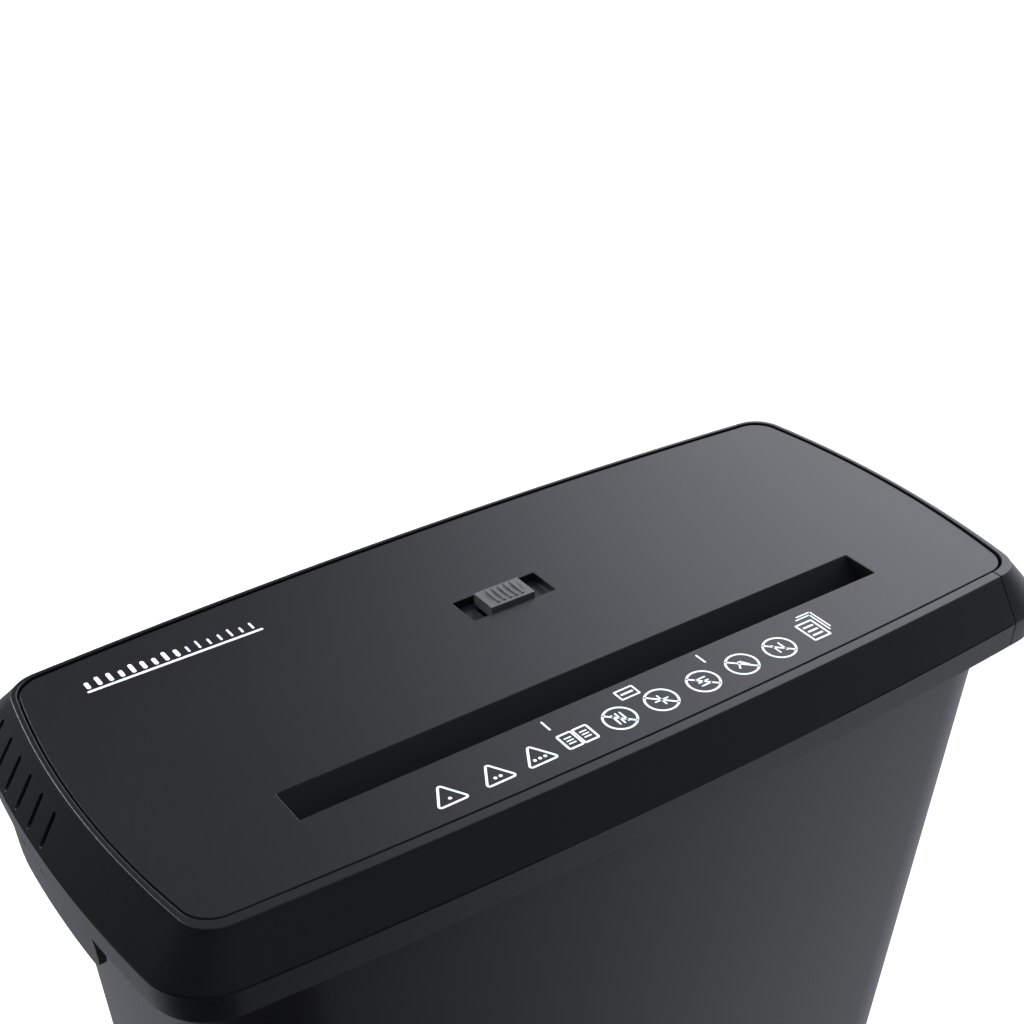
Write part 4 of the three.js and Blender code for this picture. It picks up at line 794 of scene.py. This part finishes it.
combine(panel, "UNION", prism(funnel_outside, -wide, wide, "X"))
pocket_x, pocket_y = POCKET_HALF_X * MM, POCKET_HALF_Y * MM
middle_y, wall = POCKET_Y * MM, POCKET_WALL * MM
pocket_floor = TOP - POCKET_DEEP * MM
out_x, out_y = pocket_x + wall, pocket_y + wall
box = block(-out_x, out_x, middle_y - out_y, middle_y + out_y, pocket_floor - wall, TOP - MM)
combine(panel, "UNION", box)
hollows = [
    prism(funnel_inside, -SLOT_HALF * MM, SLOT_HALF * MM, "X"),
    block(-pocket_x, pocket_x, middle_y - pocket_y, middle_y + pocket_y, pocket_floor, TOP + MM),
]
combine(panel, "DIFFERENCE", joined("hollows", hollows))
stem_x, stem_y = STEM_SLOT_HALF_X * MM, STEM_SLOT_HALF_Y * MM
stem_slot = block(-stem_x, stem_x, middle_y - stem_y, middle_y + stem_y, pocket_floor - 2 * wall, TOP)
combine(panel, "DIFFERENCE", stem_slot)
smooth(panel, edge=0.0003, segments=3)
settle(panel, "panel_plate", "head", "panel_plastic", "top_panel")

# %% [markdown]
# ## Printed marks
# White ink on the panel: a row of plain pictograms in front of the slot, two ticks that show where a sheet's
# edges go, and a simple motif of bars on the left. They carry no letters or numerals. Each mark is a line or
# a dot of ink drawn round a few corner points, a few hundredths of a millimetre thick.

# %% Printed marks
INK_LOW, INK_HIGH = TOP - 0.01 * MM, TOP + 0.03 * MM
INK_LINE, THIN_LINE = 0.8, 0.6
ROW_Y = -59.2
TRIANGLES, DOT_RADIUS, DOT_PITCH = [(-73.7, 1), (-56.8, 2), (-41.5, 3)], 0.62, 1.9
BOOK_X, BOOK_PAGE = -26.1, 2.9
RINGS, RING_RADIUS, RING_BAR = (-9.8, 6.7, 23.8, 40.1, 56.2), 5.9, 3.8
RING_SIGNS = [
    [(-1.6, -2.4, -1.6, 2.4), (0, -2.6, 0, 2.6), (1.6, -2.4, 1.6, 2.4)],
    [(-2.4, 0, 2.4, 0), (0, -2.4, 0, 2.4)],
    [(-1.8, -1.8, 1.8, -1.8), (-1.8, 1.8, 1.8, 1.8), (-1.8, 0, 1.8, 0)],
    [(-2, -1.4, 0, 2), (0, 2, 2, -1.4)],
    [(-1.4, -2.2, -1.4, 2.2), (1.4, -2.2, 1.4, 2.2)],
]
MOTIF_X, MOTIF_Y, MOTIF_LONG, MOTIF_BARS, MOTIF_PITCH = -139.5, 50.4, 62, 16, 3.9


def rounded(corners, radius, steps=6):
    """An outline that keeps `radius` outside anticlockwise points. One makes a circle, and two a bar."""
    if len(corners) == 1:
        return round_outline(*corners[0], radius, 32)
    points = []
    for before, corner, after in zip(corners[-1:] + corners[:-1], corners, corners[1:] + corners[:1]):
        low = math.atan2(before[0] - corner[0], corner[1] - before[1])
        high = math.atan2(corner[0] - after[0], after[1] - corner[1])
        turn = (high - low) % (2 * math.pi)
        for i in range(steps + 1):
            angle = low + turn * i / steps
            points.append((corner[0] + radius * math.cos(angle), corner[1] + radius * math.sin(angle)))
    return points


def ink(corners, radius, line=None):
    """A filled mark, or one drawn with a line, from corners and sizes in millimetres."""
    outside = rounded(corners, radius)
    inside = rounded(corners, radius - line) if line else []
    low, high = ([Vector((x * MM, y * MM, z)) for x, y in outside] for z in (INK_LOW, INK_HIGH))
    if not line:
        return stack("mark", [low, high], "caps")
    inner_high, inner_low = ([Vector((x * MM, y * MM, z)) for x, y in inside] for z in (INK_HIGH, INK_LOW))
    return stack("mark", [low, high, inner_high, inner_low], "wall")


def bar(x0, y0, x1, y1, width=INK_LINE):
    """A straight line of ink with round ends."""
    return ink([(x0, y0), (x1, y1)], width / 2)


marks = []
for x, dots in TRIANGLES:
    y = ROW_Y - 1.2
    marks.append(ink([(x - 4.1, y - 2.3), (x + 4.1, y - 2.3), (x, y + 4.8)], 1.15, INK_LINE))
    for i in range(dots):
        marks.append(ink([(x + (i - (dots - 1) / 2) * DOT_PITCH, y - 0.6)], DOT_RADIUS))
for x in (BOOK_X - BOOK_PAGE, BOOK_X + BOOK_PAGE):
    page = [(x - 2, ROW_Y - 3), (x + 2, ROW_Y - 3), (x + 2, ROW_Y + 3), (x - 2, ROW_Y + 3)]
    marks.append(ink(page, 1.0, INK_LINE))
    marks += [bar(x - 1.1, y, x + 1.1, y, THIN_LINE) for y in (ROW_Y - 1.4, ROW_Y, ROW_Y + 1.4)]
for x, strokes in zip(RINGS, RING_SIGNS):
    marks.append(ink([(x, ROW_Y)], RING_RADIUS, INK_LINE))
    marks.append(bar(x - RING_BAR, ROW_Y + RING_BAR, x + RING_BAR, ROW_Y - RING_BAR))
    marks += [bar(x + a, ROW_Y + b, x + c, ROW_Y + d, 0.65) for a, b, c, d in strokes]

# Stacked sheets, the two ticks and a card.
marks.append(ink([(69, -62.6), (75.4, -62.6), (75.4, -53.4), (69, -53.4)], 0.6, INK_LINE))
for step in (1.3, 2.6):
    x, y = 76 + step, -52 + step
    marks += [bar(x, y - 10, x, y, THIN_LINE), bar(x - 6, y, x, y, THIN_LINE)]
marks += [bar(70.4, y, 74, y, 0.9) for y in (-60.4, -58, -55.6)]
marks += [bar(x, -47, x, -51.4, 0.7) for x in (-31, 31)]
marks.append(ink([(-3.2, -52), (3.2, -52), (3.2, -48), (-3.2, -48)], 0.6, 0.7))
marks.append(bar(-2, -50, 2, -50, 0.9))

marks.append(bar(MOTIF_X + 0.6, MOTIF_Y - 2.2, MOTIF_X + MOTIF_LONG, MOTIF_Y - 2.2, 1.1))
for i in range(MOTIF_BARS):
    x = MOTIF_X + 1.5 + i * MOTIF_PITCH
    height = 2.4 + 1.5 * math.sin(i * 1.1) ** 2
    marks.append(bar(x, MOTIF_Y, x, MOTIF_Y + height, 1.5 if i < 9 else 0.8))
settle(joined("marks", marks), "printed_marks", "head", "white_ink")

# %% [markdown]
# ## Power slide
# A thumb slide with five ribs, which sits in the pocket and moves 7 mm each way. The knob is a block with a
# dish for the thumb, a stem that goes down through the pocket's floor, and small rounded edges.

# %% Power slide
KNOB_HALF_X, KNOB_HALF_Y, KNOB_PROUD, STEM_HALF = 9, 5.5, 1.6, 2.5
DISH_RADIUS, DISH_RISE, DISH_HALF_X = 12, 11.6, 7
RIB_COUNT, RIB_PITCH, RIB_HALF_X, RIB_HALF_Y, RIB_PROUD = 5, 2.5, 0.5, 4.2, 0.6


def knob_block(x, half_x, half_y, low, high):
    """A block whose middle is x millimetres along the pocket, from one height to another in metres."""
    y0, y1 = (POCKET_Y - half_y) * MM, (POCKET_Y + half_y) * MM
    return block((x - half_x) * MM, (x + half_x) * MM, y0, y1, low, high)


knob_top = TOP + KNOB_PROUD * MM
stem_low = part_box("power_switch_slide")[0].z
knob = knob_block(0, KNOB_HALF_X, KNOB_HALF_Y, pocket_floor + CLEARANCE * MM, knob_top)
combine(knob, "UNION", knob_block(0, STEM_HALF, STEM_HALF, stem_low, pocket_floor + 0.5 * MM))
dish = []
for i in range(15):
    turn = math.pi * (1.2 + 0.6 * i / 14)
    height = knob_top + (DISH_RISE + DISH_RADIUS * math.sin(turn)) * MM
    dish.append(((POCKET_Y + DISH_RADIUS * math.cos(turn)) * MM, height))
dish += [((POCKET_Y + side * DISH_RADIUS) * MM, TOP + 20 * MM) for side in (1, -1)]
combine(knob, "DIFFERENCE", prism(dish, -DISH_HALF_X * MM, DISH_HALF_X * MM, "X"))
for number in range(RIB_COUNT):
    x = (number - (RIB_COUNT - 1) / 2) * RIB_PITCH
    rib = knob_block(x, RIB_HALF_X, RIB_HALF_Y, knob_top - 0.5 * MM, knob_top + RIB_PROUD * MM)
    combine(knob, "UNION", rib)
smooth(knob, edge=0.00025, angle=45)
settle(knob, "power_slide_knob", "power_slide", "switch_grey", "power_switch_slide")

# %% [markdown]
# ## Waste bin
# A tapered tub, injection moulded, whose long sides bow outwards so much that the front is nearly flush with
# the head in the middle. Its rim is thin, with a small round that catches the light under the skirt, and its
# heel is rounded.

# %% Waste bin
BIN_HALF_X, BIN_HALF_Y, BIN_BOW_END, BIN_BOW_SIDE, BIN_CORNER = 161.6, 82.5, 6.5, 10.5, 38.0
DRAFT_END, DRAFT_SIDE, BIN_WALL, BIN_FLOOR, HEEL, HEEL_STEPS = 0.074, 0.077, 2.5, 3.0, 5.0, 5
RIM = TOP / MM - FLOOR_DROP - FLOOR_THICK - CLEARANCE
SOCKET_RADIUS, SOCKET_TOP = 9.3, 4.2


def bin_ring(height, inset=0.0):
    """The bin's outline at a height: it grows upwards, by its draft."""
    below = RIM - height
    outline = bowed(
        (BIN_HALF_X - DRAFT_END * below - inset) * MM,
        (BIN_HALF_Y - DRAFT_SIDE * below - inset) * MM,
        BIN_BOW_END * MM,
        BIN_BOW_SIDE * MM,
        BIN_BOW_SIDE * MM,
        (BIN_CORNER - inset) * MM,
    )
    return [Vector((x, y, height * MM)) for x, y in outline]


def heel_rings(floor, inset, upwards):
    """A quarter round from the floor to the wall."""
    rings = []
    for i in range(HEEL_STEPS + 1):
        turn = math.pi / 2 * i / HEEL_STEPS
        rings.append(bin_ring(floor + HEEL * (1 - math.cos(turn)), inset + HEEL * (1 - math.sin(turn))))
    return rings if upwards else rings[::-1]


heights = [40, 90, 140, 190, 240, 290, 330]
bin_rings = (
    heel_rings(BIN_FLOOR, 0, True)
    + [bin_ring(h) for h in heights]
    + [bin_ring(RIM - 0.7), bin_ring(RIM - 0.2, 0.18), bin_ring(RIM, 0.65)]
    + [bin_ring(RIM, BIN_WALL - 0.6), bin_ring(RIM - 0.6, BIN_WALL)]
    + [bin_ring(h, BIN_WALL) for h in heights[::-1]]
    + heel_rings(BIN_FLOOR + BIN_WALL, BIN_WALL, False)
)
bin_shell = stack("bin", bin_rings, "caps")
FEET = ["foot_front_left", "foot_rear_left", "foot_front_right", "foot_rear_right"]
sockets = []
for foot in FEET:
    low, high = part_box(foot)
    outline = round_outline((low.x + high.x) / 2, (low.y + high.y) / 2, SOCKET_RADIUS * MM, 32)
    sockets.append(prism(outline, 0, SOCKET_TOP * MM))
combine(bin_shell, "DIFFERENCE", joined("sockets", sockets))
smooth(bin_shell, angle=30)
settle(bin_shell, "waste_bin", "bin", "bin_plastic", "bin_body")

# %% [markdown]
# ## Feet
# Four rubber discs pressed into sockets under the bin. Each is turned: a short profile of radius and height
# is spun round its axis, with a rounded edge and a hollow in its sole.

# %% Feet
FOOT_SOLE = [(0, 0.5), (3.4, 0.5), (3.8, 0.1), (4.4, 0), (8.0, 0)]
FOOT_PROFILE = FOOT_SOLE + [(8.7, 0.25), (9, 0.9), (9, 3.9), (0, 3.9)]


def turned(profile, x, y, steps=40):
    """A profile of (radius, height) spun round the upright axis at x, y."""
    bpy.ops.object.select_all(action="DESELECT")
    bpy.ops.mesh.primitive_circle_add(vertices=len(profile), fill_type="NOTHING")
    piece = bpy.context.object
    bpy.ops.object.mode_set(mode="EDIT")
    mesh = bmesh.from_edit_mesh(piece.data)
    mesh.verts.ensure_lookup_table()
    for vertex, (radius, height) in zip(mesh.verts, profile):
        vertex.co = (x + radius * MM, y, height * MM)
    ends = {mesh.verts[0], mesh.verts[-1]}
    for edge in [e for e in mesh.edges if set(e.verts) == ends]:
        mesh.edges.remove(edge)
    bmesh.update_edit_mesh(piece.data)
    bpy.ops.mesh.select_all(action="SELECT")
    bpy.ops.mesh.spin(steps=steps, angle=2 * math.pi, center=(x, y, 0), axis=(0, 0, 1))
    bpy.ops.mesh.select_all(action="SELECT")
    bpy.ops.mesh.remove_doubles(threshold=1e-6)
    bpy.ops.mesh.normals_make_consistent(inside=False)
    bpy.ops.object.mode_set(mode="OBJECT")
    return piece


for foot in FEET:
    low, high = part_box(foot)
    sole = turned(FOOT_PROFILE, (low.x + high.x) / 2, (low.y + high.y) / 2)
    settle(smooth(sole, angle=30), "rubber_" + foot, "bin", "rubber", foot)

# %% [markdown]
# ## Hidden mechanism
# Cutters, gears, motor and electronics keep the engineering model's shapes, and take their finishes from the
# record's material slots.

# %% Finish the pieces that stay
for name, node in frame["nodes"].items():
    if not node.hide_render:
        node.data.materials.clear()
        node.data.materials.append(FINISH[slot_of[name]])
print(sum(not n.hide_render for n in frame["nodes"].values()), "nodes keep their shape")

# %% [markdown]
# ## Floor and light
# Black plastic has almost no colour of its own, so what it shows is what it mirrors. The floor is pale, but
# the plastic doesn't mirror it. It mirrors a soft, slightly blue studio painted on the world, which is dark
# in front on the left and bright behind on the right, as between large paper screens. One narrow strip lamp
# behind on the left draws the bright line along the raised edge.

# %% Floor
bpy.ops.object.select_all(action="DESELECT")
bpy.ops.mesh.primitive_plane_add(size=24)
floor = bpy.context.object
floor.name = "floor"
floor.visible_glossy = False
PALE, PALER = (0.93, 0.93, 0.93, 1), (0.95, 0.95, 0.95, 1)
paper, place, plug = new_material("pale floor", Roughness=0.9, Specular_IOR_Level=0.1)
plug(Base_Color=place.noise(0.8).mixed(PALE, PALER))
floor.data.materials.append(paper)

# %% Studio
STUDIO_TINT, AMBIENT = (0.93, 0.96, 1.06, 1), 0.028

world = bpy.data.worlds.new("studio")
bpy.context.scene.world = world
world.use_nodes = True
background = world.node_tree.nodes["Background"]
background.inputs["Color"].default_value = STUDIO_TINT
compass = world.node_tree.nodes.new("ShaderNodeTexCoord")
direction = Wire(world.node_tree, compass.outputs["Generated"])


def glow(x, y, z, wide, narrow, strength):
    """Light from around a direction: full inside `narrow` degrees of it and gone outside `wide`."""
    towards = Vector((x, y, z)).normalized()
    inputs = {0: direction, 1: towards}
    close = direction.node("ShaderNodeVectorMath", inputs, output=1, operation="DOT_PRODUCT")
    return close.ramp(math.cos(math.radians(wide)), math.cos(math.radians(narrow)), 0.0, strength)


studio = (
    glow(0.87, 0.43, 0.38, 35, 4, 3.6)
    + glow(0.30, -0.70, 0.62, 60, 20, 0.12)
    + glow(0.95, -0.12, -0.50, 60, 10, 0.75)
    + glow(-0.25, 0.72, -0.66, 42, 15, 0.5)
    + AMBIENT
)
world.node_tree.links.new(studio.socket, background.inputs["Strength"])


def soft_box(name, place, aim, width, height, power, mirrored):
    """A rectangular lamp aimed at a point. Only a mirrored one shows in what shines."""
    light = bpy.data.lights.new(name, "AREA")
    light.shape, light.size, light.size_y, light.energy = "RECTANGLE", width, height, power
    lamp = bpy.data.objects.new(name, light)
    bpy.context.scene.collection.objects.link(lamp)
    lamp.location = place
    lamp.rotation_euler = (Vector(aim) - Vector(place)).to_track_quat("-Z", "Y").to_euler()
    lamp.visible_camera, lamp.visible_glossy = False, mirrored


soft_box("overhead", (0.0, 0.6, 3.2), (0, 0.4, 0.0), 4.4, 4.4, 190, False)
soft_box("strip", (-0.75, 1.5, 1.35), (-0.15, 0, 0.37), 0.12, 0.9, 18, True)
bpy.context.scene.view_settings.view_transform = "Standard"
